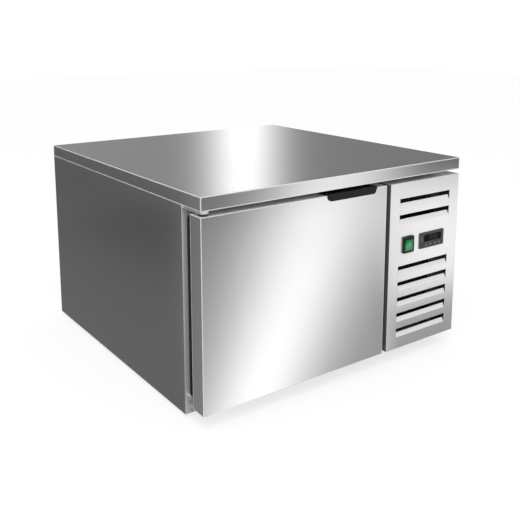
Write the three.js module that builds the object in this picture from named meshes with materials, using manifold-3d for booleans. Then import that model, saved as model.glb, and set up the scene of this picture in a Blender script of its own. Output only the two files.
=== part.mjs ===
// Countertop blast chiller: a one-door insulated cold room with a machine room beside it.
// Millimetres, +Z up, +X to the right seen from the front, the door faces -Y.
// The origin is the centre of the footprint, on the surface that the pads stand on.
import * as THREE from 'three';
import { mergeVertices } from 'three/addons/utils/BufferGeometryUtils.js';
import Module from 'manifold-3d';

const wasm = await Module();
wasm.setup();

// ---------------------------------------------------------------- driving dimensions
const WIDTH = 650;
const DEPTH = 670; // back panel to door face
const HEIGHT = 420;
const SHEET = 1; // stainless sheet of every panel
const GAP = 0.3; // clearance between pieces that are only pushed together
const OVER = 1; // how far a cutting tool reaches past what it cuts

const PAD_HEIGHT = 6;
const PAD_RADIUS = 16;
const PAD_CHAMFER = 1.5;
const PAD_TAPER = 1;
const PAD_INSET = 48; // pad centre from the side and back panels

const TOP_THICK = 25;
const TOP_LIP = 14; // return lip under the worktop's folded edge
const TOP_GAP = 10; // under the worktop, above the door
const FRONT_LIFT = 23; // door and cover above the body's lower edge
const SETBACK = 63; // front frame behind the door's face
const FLANGE = 13; // folded edges of the side panels

const COVER_WIDTH = 206; // louvred cover; the door has the rest of the width
const DOOR_SKIN_DEPTH = 35;
const DOOR_INSET = 10; // inner liner inside the outer skin's outline
const GASKET_THICK = 12;
const GASKET_WIDTH = 14;
const GASKET_GROOVE = 3; // fold of the gasket's bellows
const GASKET_CORNER = 6;
const LINER_BOSS = 8; // pressed centre of the door's inner liner
const BOSS_MARGIN = 10; // from the gasket to that pressing
const FRONT_GAP = 12; // between door and louvred cover

const HINGE_INSET = 11.5; // pin axis from the door's side and face
const HINGE_RADIUS = 9.5; // rounded end of the upper bracket
const LOWER_RADIUS = 6; // the same of the lower one
const UPPER_PLATE = 5.2; // thickness of the upper bracket
const LOWER_PLATE = 3;
const LOWER_WASHER = 1; // bush flange between the door and the lower bracket
const PIN_RADIUS = 4;
const PIN_LENGTH = 18;
const PIN_END_GAP = 2; // under the pin's end, in its bush
const BUSH_RADIUS = 7;
const BUSH_FLANGE = 1.5; // its flange beyond it
const BUSH_DEPTH = 20; // how deep a bush sits in the door
const BRACKET_FOOT = 40; // width of the lower bracket's foot on the frame
const FOOT_LIFT = 2; // that foot above the body's lower edge

const WALL = 44; // insulated walls of the cold room
const FLOOR_WALL = 54;
const CEILING_WALL = 45;
const BACK_WALL = 50;
const CORNER_RADIUS = 12; // coved corners of the liner
const RACK_LEVELS = 3;
const RACK_FIRST = 44; // first ledge above the liner's floor
const RACK_HEADROOM = 78; // last ledge below the liner's ceiling
const RACK_LEDGE = 15;
const RACK_SHEET = 1.5;
const RACK_STANDOFF = 4; // feet that space the rack off the liner
const RACK_MARGIN = 22; // sheet below the first ledge and above the last
const RACK_FRONT = 14; // rack behind the cold room's mouth
const RACK_WINDOWS = 3;
const RACK_WINDOW_CORNER = 8;
const PANEL_REAR_GAP = 22; // tray racks to fan panel
const PANEL_SIDE_GAP = 20; // air path at each side of the fan panel

const FAN_SIDE_GAP = 10; // fan ring to the machine room's sides
const FAN_BLADES = 5;
const FAN_TIP_GAP = 5;
const FAN_DEPTH = 24;
const HUB_RADIUS = 24;
const SHAFT_RADIUS = 4;
const MOTOR_RADIUS = 33;
const MOTOR_LENGTH = 42;
const MOTOR_NOSE_RADIUS = 18;
const MOTOR_NOSE = 3;
const HUB_CAP = 5; // closed front of the hub
const FAN_PITCH_ROOT = 42; // blade angles in degrees
const FAN_PITCH_TIP = 20;
const FAN_SWEEP = 14;
const BLADE_THICK = 1.6;
const BLADE_CHORD_ROOT = 34;
const BLADE_CHORD_TIP = 72;
const BLADE_SINK = 3; // blade root inside the hub
const BLADE_CAMBER = 3;
const FAN_BAR_WIDTH = 22;
const FAN_BAR_THICK = 2;
const GUARD_RINGS = 4;
const GUARD_WIRE = 1.5; // radius
const GUARD_STANDOFF = 10;
const GUARD_SPOKES = 4;

const COIL_DEPTH = 66;
const COIL_TUBE = 4.8; // radius of the copper return bends
const COIL_PITCH = 25; // between tube rows
const COIL_SIDE_GAP = 20; // coil to wall, where the return bends are
const COIL_TOP_GAP = 12;
const COIL_BACK_GAP = 12; // evaporator to the cold room's back
const DRIP_TRAY_HEIGHT = 14;
const DRIP_TRAY_REST = 20; // rib of the drip tray that carries the coil
const CONDENSER_GAP = 8; // behind the front frame
const CONDENSER_HEADROOM = 97; // condenser below the worktop
const STUB_INSET = 10; // pipe stubs from the condenser's sides
const STUB_LENGTH = 12;
const STUB_SEAT = 2; // how deep a pipe stub sits in its coil
const FIN_PITCH = 11;
const FIN_THICK = 2.4;

const LOUVRE_LENGTH = 151;
const LOUVRE_SHARE = 0.56; // opening's share of the pitch
const LOUVRE_SLIT = 10; // open part above the lip
const LOUVRE_DROP = 3.6; // how far the lip leans inward
const LIP_END_GAP = 1.2; // between the lip and the slot's ends
const LOUVRES_ABOVE = 2;
const LOUVRES_BELOW = 5;
const LOUVRE_FIRST = 33; // first opening below the cover's upper edge
const LOUVRE_SECOND = 176; // first opening of the lower group, likewise
const LOUVRE_FOOT = 25; // last opening above the cover's lower edge

const SWITCH_WIDTH = 31;
const SWITCH_HEIGHT = 34.7;
const SWITCH_BEZEL = 4; // bezel proud of the cover
const SWITCH_PROUD = 8; // rocker's raised end proud of the cover
const SWITCH_BODY_DEPTH = 24;
const SWITCH_LAND = 2.2; // bezel beyond its cut-out
const BEZEL_CORNER = 2;
const ROCKER_WIDTH = 21;
const ROCKER_HEIGHT = 23;
const ROCKER_TILT = 7; // degrees to each side of level
const ROCKER_SINK = 2; // pivot behind the cover's face
const ROCKER_DISH = 2; // hollow of the rocker's face
const ROCKER_RECESS = 10; // depth of its recess behind the cover's face
const ROCKER_SHOULDER = 2; // rocker's ends and its keel behind its pivot
const ROCKER_KEEL = 5;
const ROCKER_SWING = 1; // room above and below it
const SWITCH_LEFT = 38; // from the cover's left edge
const PANEL_MIDDLE = 132; // centre line of switch and controller below the cover's upper edge

const CONTROL_WIDTH = 74.5;
const CONTROL_HEIGHT = 33.8;
const CONTROL_BEZEL = 2;
const CONTROL_DEPTH = 54;
const CONTROL_LEFT = 88; // from the cover's left edge
const CONTROL_LAND = 2.2; // bezel beyond its cut-out
const WINDOW_THICK = 1.5;
const WINDOW_LEFT = 12.6;
const WINDOW_WIDTH = 55.2;
const WINDOW_HEIGHT = 15.5;
const WINDOW_TOP = 5.2;
const KEY_LEFTS = [19.4, 33, 46.5, 60]; // key centres from the controller's left edge
const KEY_WIDTH = 6;
const KEY_HEIGHT = 4;
const KEY_PROUD = 0.7;
const KEY_TRAVEL = 0.5;
const KEY_STEM = 2.2; // how deep a key sits in the bezel
const KEY_BOTTOM = 6.6; // key centres above the controller's lower edge
const KEY_CORNER = 1;

const PULL_RIGHT = 29; // from the door's right edge
const PULL_LENGTH = 128;
const PULL_DROP = 11; // lip below the door's upper edge
const PULL_WALL = 3;
const PULL_FLANGE = 34; // from the door's face, over its upper edge
const PULL_TAPER = 6; // ends drawn in at the lip's lower edge
const PULL_SLANT = 4; // the same at the top of the lip's rounded corners
const PULL_CORNER = 4;
const PULL_FLANGE_CORNER = 3;
const TROUGH_START = 8; // finger trough behind the lip, from the door's face
const TROUGH_WIDTH = 20;
const TROUGH_DEPTH = 20;
const TROUGH_MARGIN = 8; // from the pull's ends

const COMPRESSOR_RADIUS = 74;
const COMPRESSOR_HEIGHT = 168;
const WELD_LIP = 4; // rim where the shell's two halves are welded
// Shell from foot to dome: shares of its radius and height, and the rim's extra radius.
const SHELL_PROFILE = [
  [0, 0], [0.8, 0], [1, 0.1], [1, 0.55], [1, 0.55, WELD_LIP], [1, 0.58, WELD_LIP],
  [1, 0.58], [1, 0.78], [0.9, 0.9], [0.62, 0.98], [0, 1],
];
const GROMMET_HEIGHT = 12;
const GROMMET_RADIUS = 10;
const GROMMET_SPREAD_X = 62;
const GROMMET_SPREAD_Y = 78;
const GROMMET_NECK = 5; // radius through the foot plate
const GROMMET_WAIST = 1;
const GROMMET_HEAD = 2; // neck above the foot plate
const FOOT_THICK = 3;
const FOOT_CORNER = 8;
const FOOT_EDGE = 2; // foot plate beyond a grommet
const SHELL_SINK = 0.5; // compressor shell into its foot plate
const COMPRESSOR_BACK = 145; // compressor axis from the rear panel
const RELAY_WIDTH = 52;
const RELAY_HEIGHT = 50;
const RELAY_DEPTH = 22;
const RELAY_LIFT = 22;
const STUB_SPREAD = 30; // pipe stubs each side of the compressor's axis
const PIPE_RADIUS = 4;
const PIPE_BEND = 14; // straight end of a pipe before its first bend
const PIPE_SWEEP = 50; // room for a wide bend
const PIPE_LEVELS = 6; // discharge run below the liquid run
const DISCHARGE_RISE = 60; // discharge pipe above the compressor's stub
const SUCTION_RISE = 40;
const DRIER_LEAD = 40; // pipe straight out of the filter drier
const DRIER_RADIUS = 11;
const DRIER_LENGTH = 96;
const DRIER_NECK = 12;
const DRIER_SHOULDER = 22; // where its full width starts
const DRIER_DROP = 50; // below the worktop
const CAPILLARY_DROP = 65; // the same for the two pipes through the partition
const SUCTION_DROP = 105;
const EVAPORATOR_STUB = 12; // pipe ends beyond the partition

const BOX_DEPTH = 52;
const BOX_LENGTH = 150;
const BOX_HEIGHT = 124;
const BOX_BEHIND = 18; // electrical box behind the condenser fan
const BOX_DROP = 75; // below the worktop
const LID_OVERLAP = 12;
const GLAND_RADIUS = 8;
const GLAND_PROUD = 10; // behind the rear panel
const GLAND_INSIDE = 14;
const GLAND_SIDE = 34; // from the right side
const GLAND_HEIGHT = 44; // above the body's lower edge
const GLAND_NUT = 5;
const GLAND_FLATS = 4; // nuts beyond the gland's thread
const GLAND_WALL = 3;

const VENT_LENGTH = 120;
const VENT_HEIGHT = 6;
const VENT_PITCH = 16;
const VENTS = 9;
const VENT_START = 96; // first vent above the body's lower edge

// How many flats stand for a round form.
const SIDES_LARGE = 28;
const SIDES_MEDIUM = 20;
const SIDES_SMALL = 12;
const SIDES_WIRE = 4;
const PIPE_SIDES = 8;
const PIPE_STEPS = 17;
const ARC_STEPS = 2; // quarter turns of small rounded corners
const BEND_STEPS = 5;

// ---------------------------------------------------------------- ranges on one axis
const grown = ([low, high], by) => [low - by, high + by];
const from = (start, length) => [start, start + length];
const upTo = (end, length) => [end - length, end];
const about = (middle, length) => [middle - length / 2, middle + length / 2];

// ---------------------------------------------------------------- places worked out from them
const left = -WIDTH / 2;
const right = WIDTH / 2;
const front = (SWITCH_PROUD - GLAND_PROUD - DEPTH) / 2; // plane of the door's face
const back = front + DEPTH;
const bodyBottom = PAD_HEIGHT;
const topUnder = HEIGHT - TOP_THICK;
const coverBottom = bodyBottom + FRONT_LIFT;
const coverTop = topUnder - TOP_GAP;
const frameFace = front + SETBACK;
const coverLeft = right - COVER_WIDTH;
const doorRight = coverLeft - FRONT_GAP;
const partition = coverLeft - 10; // cold-room side of the sheet between the two rooms
const skinBack = front + DOOR_SKIN_DEPTH;
const doorInsetLeft = left + DOOR_INSET;
const doorInsetRight = doorRight - DOOR_INSET;
const doorInsetBottom = coverBottom + DOOR_INSET;
const doorInsetTop = coverTop - DOOR_INSET;

const linerBack = frameFace - GAP - GASKET_THICK; // cold side of the door's inner liner
const baseTop = bodyBottom + 2 * SHEET;
const rearFace = back - 2 * SHEET; // inner face of the rear panel

const cavity = {
  x: [left + WALL, partition - WALL],
  y: [frameFace + SHEET, back - BACK_WALL],
  z: [bodyBottom + FLOOR_WALL, topUnder - CEILING_WALL],
};
const cavityMiddle = (cavity.x[0] + cavity.x[1]) / 2;
const cavityHalfHeight = (cavity.z[0] + cavity.z[1]) / 2;
const rackRise = cavity.z[1] - cavity.z[0] - RACK_FIRST - RACK_HEADROOM;
const rackPitch = rackRise / (RACK_LEVELS - 1);

const machine = {
  x: [partition + SHEET, right - SHEET],
  y: [frameFace + SHEET, rearFace],
  z: [baseTop, topUnder],
};
const machineMiddle = (machine.x[0] + machine.x[1]) / 2;

// Fan depths behind the sheet that carries the fan, whose front is at depth 0.
const fanLayout = {
  hub: from(FAN_TIP_GAP, FAN_DEPTH),
  collar: [0, 2 * FAN_TIP_GAP + FAN_DEPTH],
  motor: from(2 * FAN_TIP_GAP + FAN_DEPTH, MOTOR_LENGTH),
};
fanLayout.bar = from(fanLayout.motor[1], FAN_BAR_THICK);
const fanRing = (machine.x[1] - machine.x[0]) / 2 - FAN_SIDE_GAP;
const fanRadius = fanRing - FAN_TIP_GAP;

const evaporatorSpan = upTo(cavity.y[1] - COIL_BACK_GAP, COIL_DEPTH);
const panelFace = evaporatorSpan[0] - FAN_TIP_GAP - fanLayout.bar[1];
const rackSpan = [cavity.y[0] + RACK_FRONT, panelFace - PANEL_REAR_GAP]; // as deep as a GN 2/3 tray
const stubDepth = evaporatorSpan[0] + 2 * COIL_TUBE; // where the evaporator's pipes leave
const suctionHeight = topUnder - SUCTION_DROP;
const capillaryHeight = topUnder - CAPILLARY_DROP;
const evaporatorStub = machine.x[0] + EVAPORATOR_STUB;

const condenserSpan = from(machine.y[0] + CONDENSER_GAP, COIL_DEPTH);
const condenserTop = topUnder - CONDENSER_HEADROOM;
const shroudFace = condenserSpan[1] + GAP;
const condenserFanHeight = (baseTop + condenserTop) / 2;
const compressorAt = { x: machineMiddle, y: rearFace - COMPRESSOR_BACK };
const compressorTop = baseTop + GROMMET_HEIGHT + FOOT_THICK + COMPRESSOR_HEIGHT;
const stubAt = [-1, 1].map((side) => [compressorAt.x + side * STUB_SPREAD, compressorAt.y]);
const drierAt = {
  x: machine.x[1] - COIL_SIDE_GAP - STUB_INSET,
  y: about((shroudFace + compressorAt.y) / 2, DRIER_LENGTH),
  z: topUnder - DRIER_DROP,
};
const boxSpan = {
  y: from(shroudFace + fanLayout.bar[1] + BOX_BEHIND, BOX_LENGTH),
  z: upTo(topUnder - BOX_DROP, BOX_HEIGHT),
};
const gland = { x: right - GLAND_SIDE, z: bodyBottom + GLAND_HEIGHT };
const ventFirst = bodyBottom + VENT_START;

const coverMiddle = (coverLeft + right) / 2;
const lowerGroup = coverTop - LOUVRE_SECOND - coverBottom - LOUVRE_FOOT;
const louvrePitch = lowerGroup / (LOUVRES_BELOW - 1 + LOUVRE_SHARE);
const louvreHeight = louvrePitch * LOUVRE_SHARE;
const panelHeight = coverTop - PANEL_MIDDLE;
const switchX = from(coverLeft + SWITCH_LEFT, SWITCH_WIDTH);
const switchZ = about(panelHeight, SWITCH_HEIGHT);
const controlX = from(coverLeft + CONTROL_LEFT, CONTROL_WIDTH);
const controlZ = about(panelHeight, CONTROL_HEIGHT);
const pullX = upTo(doorRight - PULL_RIGHT, PULL_LENGTH);

const hinge = { x: left + HINGE_INSET, y: front + HINGE_INSET };
const upperWasher = TOP_GAP - UPPER_PLATE - GAP; // bush flange between door and upper bracket

// ---------------------------------------------------------------- materials
const paint = (color, roughness, metalness) => (
  new THREE.MeshStandardMaterial({ color, roughness, metalness })
);
const finish = {
  steel: () => paint(0xc9cacb, 0.28, 1),
  steelMatt: () => paint(0xb4b6b8, 0.45, 1),
  zinc: () => paint(0xdfe6ee, 0.35, 1),
  copper: () => paint(0xb06a3c, 0.35, 1),
  aluminium: () => paint(0xc4c7ca, 0.5, 1),
  blackPaint: () => paint(0x1b1c1d, 0.45, 0.2),
  blackPlastic: () => paint(0x1c1c1a, 0.5, 0),
  greyPlastic: () => paint(0x3a4446, 0.45, 0),
  green: () => paint(0x1f8a4c, 0.25, 0),
  glass: () => paint(0x0c0d0e, 0.08, 0),
  rubber: () => paint(0x24262a, 0.85, 0),
  foam: () => paint(0xe6dcb4, 0.9, 0),
  board: () => paint(0xe3e1dc, 0.7, 0),
};

// ---------------------------------------------------------------- solid tools
const HALF_TURN = Math.PI;
const QUARTER_TURN = Math.PI / 2;
const degrees = (angle) => (angle * Math.PI) / 180;

function solid(geometry) {
  const bare = geometry.clone();
  for (const name of ['normal', 'uv']) bare.deleteAttribute(name);
  const merged = mergeVertices(bare, 1e-4);
  return new wasm.Manifold(new wasm.Mesh({
    numProp: 3,
    vertProperties: Float32Array.from(merged.attributes.position.array),
    triVerts: Uint32Array.from(merged.index.array),
  }));
}

function join(first, ...others) {
  return others.reduce((whole, other) => whole.add(other), first);
}

function cut(first, ...tools) {
  return tools.reduce((whole, tool) => whole.subtract(tool), first);
}

function geometryOf(body) {
  const { vertProperties, triVerts } = body.getMesh();
  const geometry = new THREE.BufferGeometry();
  geometry.setAttribute('position', new THREE.BufferAttribute(vertProperties, 3));
  geometry.setIndex(new THREE.BufferAttribute(triVerts, 1));
  geometry.computeVertexNormals();
  return geometry;
}

// A block between two planes on each axis.
function block(x, y, z) {
  const geometry = new THREE.BoxGeometry(x[1] - x[0], y[1] - y[0], z[1] - z[0]);
  geometry.translate((x[0] + x[1]) / 2, (y[0] + y[1]) / 2, (z[0] + z[1]) / 2);
  return solid(geometry);
}

// A rectangle with its four corners rounded, as a shape in its own plane.
function roundedRectangle(u, v, radius) {
  const shape = new THREE.Shape();
  shape.moveTo(u[0] + radius, v[0]);
  shape.lineTo(u[1] - radius, v[0]);
  shape.absarc(u[1] - radius, v[0] + radius, radius, -QUARTER_TURN, 0);
  shape.lineTo(u[1], v[1] - radius);
  shape.absarc(u[1] - radius, v[1] - radius, radius, 0, QUARTER_TURN);
  shape.lineTo(u[0] + radius, v[1]);
  shape.absarc(u[0] + radius, v[1] - radius, radius, QUARTER_TURN, HALF_TURN);
  shape.lineTo(u[0], v[0] + radius);
  shape.absarc(u[0] + radius, v[0] + radius, radius, HALF_TURN, HALF_TURN + QUARTER_TURN);
  return shape;
}

// A rounded frame of one width, as a shape.
function sheetRing(u, v, radius, width) {
  const shape = roundedRectangle(u, v, radius);
  shape.holes.push(roundedRectangle(grown(u, -width), grown(v, -width), Math.max(radius - width, SHEET)));
  return shape;
}

function outline(points) {
  return new THREE.Shape(points.map(([u, v]) => new THREE.Vector2(u, v)));
}

function extruded(shape, length, curveSegments = 4) {
  return new THREE.ExtrudeGeometry(shape, { depth: length, bevelEnabled: false, curveSegments });
}

// A shape drawn in plan (X, Y), raised between two heights.
function upright(shape, z, curveSegments) {
  const geometry = extruded(shape, z[1] - z[0], curveSegments);
  geometry.translate(0, 0, z[0]);
  return solid(geometry);
}

// A shape drawn in front view (X, Z), carried from one depth to another.
function frontOn(shape, y, curveSegments) {
  const geometry = extruded(shape, y[1] - y[0], curveSegments);
  geometry.rotateX(QUARTER_TURN);
  geometry.translate(0, y[1], 0);
  return solid(geometry);
}

// A shape drawn in side view (Y, Z), carried from one side to the other.
function sideOn(shape, x, curveSegments) {
  const geometry = extruded(shape, x[1] - x[0], curveSegments);
  geometry.rotateX(QUARTER_TURN);
  geometry.rotateZ(QUARTER_TURN);
  geometry.translate(x[0], 0, 0);
  return solid(geometry);
}

// A cylinder between two heights, or between two depths.
function post(x, y, z, radius, sides = SIDES_MEDIUM) {
  const geometry = new THREE.CylinderGeometry(radius, radius, z[1] - z[0], sides);
  geometry.rotateX(QUARTER_TURN);
  geometry.translate(x, y, (z[0] + z[1]) / 2);
  return solid(geometry);
}

function axle(x, y, z, radius, sides = SIDES_MEDIUM) {
  const geometry = new THREE.CylinderGeometry(radius, radius, y[1] - y[0], sides);
  geometry.translate(x, (y[0] + y[1]) / 2, z);
  return solid(geometry);
}

// A short pipe or rod from one side to another.
function axleX(x, y, z, radius, sides = SIDES_SMALL) {
  const geometry = new THREE.CylinderGeometry(radius, radius, x[1] - x[0], sides);
  geometry.rotateZ(QUARTER_TURN);
  geometry.translate((x[0] + x[1]) / 2, y, z);
  return solid(geometry);
}

// A turned form: [radius, height] pairs, from the axis back to the axis.
function turned(profile, segments = SIDES_MEDIUM) {
  const points = profile.map(([radius, height]) => new THREE.Vector2(radius, height));
  const geometry = new THREE.LatheGeometry(points, segments);
  geometry.rotateX(QUARTER_TURN);
  return solid(geometry);
}

// A round pipe through its points, with a bend at each of them.
function pipe(points, radius, steps, sides = PIPE_SIDES) {
  const tension = 0.35;
  const path = new THREE.CatmullRomCurve3(
    points.map(([x, y, z]) => new THREE.Vector3(x, y, z)),
    false,
    'catmullrom',
    tension,
  );
  const section = new THREE.Shape();
  section.absarc(0, 0, radius, 0, 2 * HALF_TURN);
  return new THREE.ExtrudeGeometry(section, {
    extrudePath: path,
    steps,
    bevelEnabled: false,
    curveSegments: sides / 2,
  });
}

// ---------------------------------------------------------------- the object
const chiller = new THREE.Group();

function add(name, shape, material) {
  const geometry = shape instanceof THREE.BufferGeometry ? shape : geometryOf(shape);
  const mesh = new THREE.Mesh(geometry, material);
  mesh.name = name;
  chiller.add(mesh);
}

// ---------------------------------------------------------------- body panels
// The worktop is a folded sheet: flat top, four turned-down edges and return lips under them.
function worktop() {
  const shell = cut(
    block([left, right], [front, back], [topUnder, HEIGHT]),
    block([left + SHEET, right - SHEET], [front + SHEET, back - SHEET], [topUnder + SHEET, HEIGHT - SHEET]),
    block([left + TOP_LIP, right - TOP_LIP], [front + TOP_LIP, back - TOP_LIP], from(topUnder, SHEET)),
  );
  add('worktop', shell, finish.steel());
  add('worktop_board', block(
    [left + SHEET, right - SHEET],
    [front + SHEET, back - SHEET],
    [topUnder + SHEET, HEIGHT - SHEET],
  ), finish.board());
}

// A side panel is a sheet with its four edges folded inward.
function sidePanel(name, outer, inward) {
  const reach = (start, end) => [outer + inward * start, outer + inward * end].sort((a, b) => a - b);
  const depth = [frameFace, back];
  const height = [bodyBottom, topUnder];
  const panel = cut(
    block(reach(0, FLANGE), depth, height),
    block(reach(SHEET, FLANGE + OVER), grown(depth, -SHEET), grown(height, -SHEET)),
  );
  add(name, panel, finish.steel());
}

// The rear panel lies inside the side panels' folded edges, with vent slots behind the machine room.
function rearPanel() {
  const thick = [back - 2 * SHEET, back - SHEET];
  const sheet = block([left + SHEET, right - SHEET], thick, [bodyBottom + SHEET, topUnder - SHEET]);
  const vents = Array.from({ length: VENTS }, (_, row) => {
    const middle = ventFirst + row * VENT_PITCH;
    return block(about(machineMiddle, VENT_LENGTH), grown(thick, OVER), about(middle, VENT_HEIGHT));
  });
  const glandHole = axle(gland.x, grown(thick, OVER), gland.z, GLAND_RADIUS + GAP, SIDES_SMALL);
  add('rear_panel', cut(sheet, ...vents, glandHole), finish.steelMatt());
}

// The base tray lies on the side panels' lower edges and has a stiffening lip behind the front frame.
function baseTray() {
  const tray = join(
    block([left + SHEET, right - SHEET], [frameFace + SHEET, rearFace], upTo(baseTop, SHEET)),
    block([left + FLANGE, right - FLANGE], from(frameFace + SHEET, SHEET), from(baseTop, FLANGE)),
  );
  add('base_tray', tray, finish.steelMatt());
}

function rubberPads() {
  const places = [left + PAD_INSET, right - PAD_INSET].flatMap((x) => (
    [frameFace + PAD_INSET, back - PAD_INSET].map((y) => [x, y])
  ));
  for (const [index, [x, y]] of places.entries()) {
    const pad = turned([
      [0, 0],
      [PAD_RADIUS - PAD_CHAMFER, 0],
      [PAD_RADIUS, PAD_CHAMFER],
      [PAD_RADIUS - PAD_TAPER, bodyBottom + SHEET],
      [0, bodyBottom + SHEET],
    ], SIDES_SMALL);
    add(`rubber_pad_${index + 1}`, pad.translate([x, y, 0]), finish.rubber());
  }
}

// The frame round the cold room's mouth, flush with the side panels' front edges.
function frontFrame() {
  const shape = outline([
    [left + FLANGE, bodyBottom],
    [coverLeft + FLANGE, bodyBottom],
    [coverLeft + FLANGE, topUnder],
    [left + FLANGE, topUnder],
  ]);
  shape.holes.push(roundedRectangle(cavity.x, cavity.z, CORNER_RADIUS));
  add('front_frame', frontOn(shape, from(frameFace, SHEET)), finish.steel());
}

// The cold room's liner: a coved box, open in front, with a flange behind the frame.
function liningSolids() {
  const { x, y, z } = cavity;
  const outerShape = roundedRectangle(grown(x, SHEET), grown(z, SHEET), CORNER_RADIUS + SHEET);
  const innerShape = roundedRectangle(x, z, CORNER_RADIUS);
  const outer = frontOn(outerShape, [y[0], y[1] + SHEET]);
  const inner = frontOn(innerShape, [y[0] - OVER, y[1]]);
  const flange = frontOn(
    roundedRectangle(grown(x, FLANGE), grown(z, FLANGE), CORNER_RADIUS + FLANGE),
    from(y[0], SHEET),
  );
  return { outer, inner, flange };
}

function coldRoom() {
  const { outer, inner, flange } = liningSolids();
  const pipePasses = pipeHoles();
  add('cavity_liner', cut(join(outer, flange), inner, ...pipePasses), finish.steelMatt());

  const { x, y, z } = cavity;
  const pocket = frontOn(
    roundedRectangle(grown(x, SHEET + GAP), grown(z, SHEET + GAP), CORNER_RADIUS + SHEET + GAP),
    [y[0], y[1] + SHEET + GAP],
  );
  const foam = block(
    [left + SHEET, partition],
    [frameFace + 2 * SHEET, rearFace],
    [baseTop, topUnder - SHEET],
  );
  add('foam_insulation', cut(foam, pocket, ...pipePasses), finish.foam());

  const sheet = join(
    block(from(partition, SHEET), [frameFace + 2 * SHEET, rearFace], [baseTop, topUnder - SHEET]),
    block(from(partition, FLANGE), [frameFace + 2 * SHEET, rearFace], upTo(topUnder - SHEET, SHEET)),
  );
  add('partition_panel', cut(sheet, ...pipePasses), finish.steelMatt());
}

// ---------------------------------------------------------------- cold room fittings
// A rack is a sheet on four feet with folded ledges for the trays and windows for the air.
function trayRack(name, wall, inward) {
  const reach = (start, end) => [wall + inward * start, wall + inward * end].sort((a, b) => a - b);
  const ledges = Array.from({ length: RACK_LEVELS }, (_, level) => (
    cavity.z[0] + RACK_FIRST + level * rackPitch
  ));
  const sheetZ = [ledges[0] - RACK_MARGIN, ledges.at(-1) + RACK_MARGIN];
  const sheetX = reach(RACK_STANDOFF, RACK_STANDOFF + RACK_SHEET);
  const shelves = ledges.map((z) => (
    block(reach(RACK_STANDOFF, RACK_STANDOFF + RACK_LEDGE), rackSpan, from(z, RACK_SHEET))
  ));
  const feet = rackSpan.flatMap((end, side) => sheetZ.map((z, top) => block(
    reach(0, RACK_STANDOFF),
    side ? upTo(end, RACK_LEDGE) : from(end, RACK_LEDGE),
    top ? upTo(z, RACK_LEDGE) : from(z, RACK_LEDGE),
  )));
  const bay = (rackSpan[1] - rackSpan[0]) / RACK_WINDOWS;
  const window = (z, column) => {
    const y = from(rackSpan[0] + column * bay, bay);
    const height = [z + RACK_LEDGE, z + rackPitch - RACK_LEDGE];
    const shape = roundedRectangle(grown(y, -RACK_LEDGE), height, RACK_WINDOW_CORNER);
    return sideOn(shape, grown(sheetX, OVER), 1);
  };
  const windows = ledges.slice(0, -1).flatMap((z) => (
    Array.from({ length: RACK_WINDOWS }, (_, column) => window(z, column))
  ));
  const rack = cut(join(block(sheetX, rackSpan, sheetZ), ...shelves, ...feet), ...windows);
  add(name, rack, finish.steelMatt());
}

// One blade: cambered sections from the hub to the tip, swept back and flattening outward.
function bladeGeometry() {
  const chordSteps = [-0.5, -0.17, 0.17, 0.5];
  const spanSteps = [0, 0.5, 1];
  const inner = HUB_RADIUS - BLADE_SINK;
  const positions = [];
  for (const span of spanSteps) {
    const radius = inner + span * (fanRadius - inner);
    const chord = THREE.MathUtils.lerp(BLADE_CHORD_ROOT, BLADE_CHORD_TIP, span);
    const pitch = degrees(THREE.MathUtils.lerp(FAN_PITCH_ROOT, FAN_PITCH_TIP, span));
    const rows = [-BLADE_THICK / 2, BLADE_THICK / 2].map((side) => chordSteps.map((step) => {
      const along = step * chord;
      const camber = BLADE_CAMBER * (1 - 4 * step * step);
      const angle = (along * Math.cos(pitch)) / radius + degrees(FAN_SWEEP) * span;
      return [
        radius * Math.sin(angle),
        along * Math.sin(pitch) + camber + side,
        radius * Math.cos(angle),
      ];
    }));
    positions.push(...rows[0], ...rows[1].reverse());
  }
  const around = 2 * chordSteps.length;
  const faces = [];
  for (let ring = 0; ring < spanSteps.length - 1; ring += 1) {
    for (let step = 0; step < around; step += 1) {
      const next = (step + 1) % around;
      const [a, b] = [ring * around + step, ring * around + next];
      faces.push(a, b, b + around, a, b + around, a + around);
    }
  }
  for (let step = 1; step < around - 1; step += 1) {
    const tip = (spanSteps.length - 1) * around;
    faces.push(0, step + 1, step, tip, tip + step, tip + step + 1);
  }
  const geometry = new THREE.BufferGeometry();
  geometry.setAttribute('position', new THREE.Float32BufferAttribute(positions.flat(), 3));
  geometry.setIndex(faces);
  return geometry;
}

// The opening and its collar, pressed out of the sheet behind which the fan turns.
function fanOpening(x, z, face) {
  const collar = cut(
    axle(x, from(face, fanLayout.collar[1]), z, fanRing + SHEET, SIDES_LARGE),
    axle(x, grown(from(face, fanLayout.collar[1]), OVER), z, fanRing, SIDES_LARGE),
  );
  const hole = axle(x, grown(from(face, SHEET), OVER), z, fanRing, SIDES_LARGE);
  return { collar, hole };
}

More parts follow.
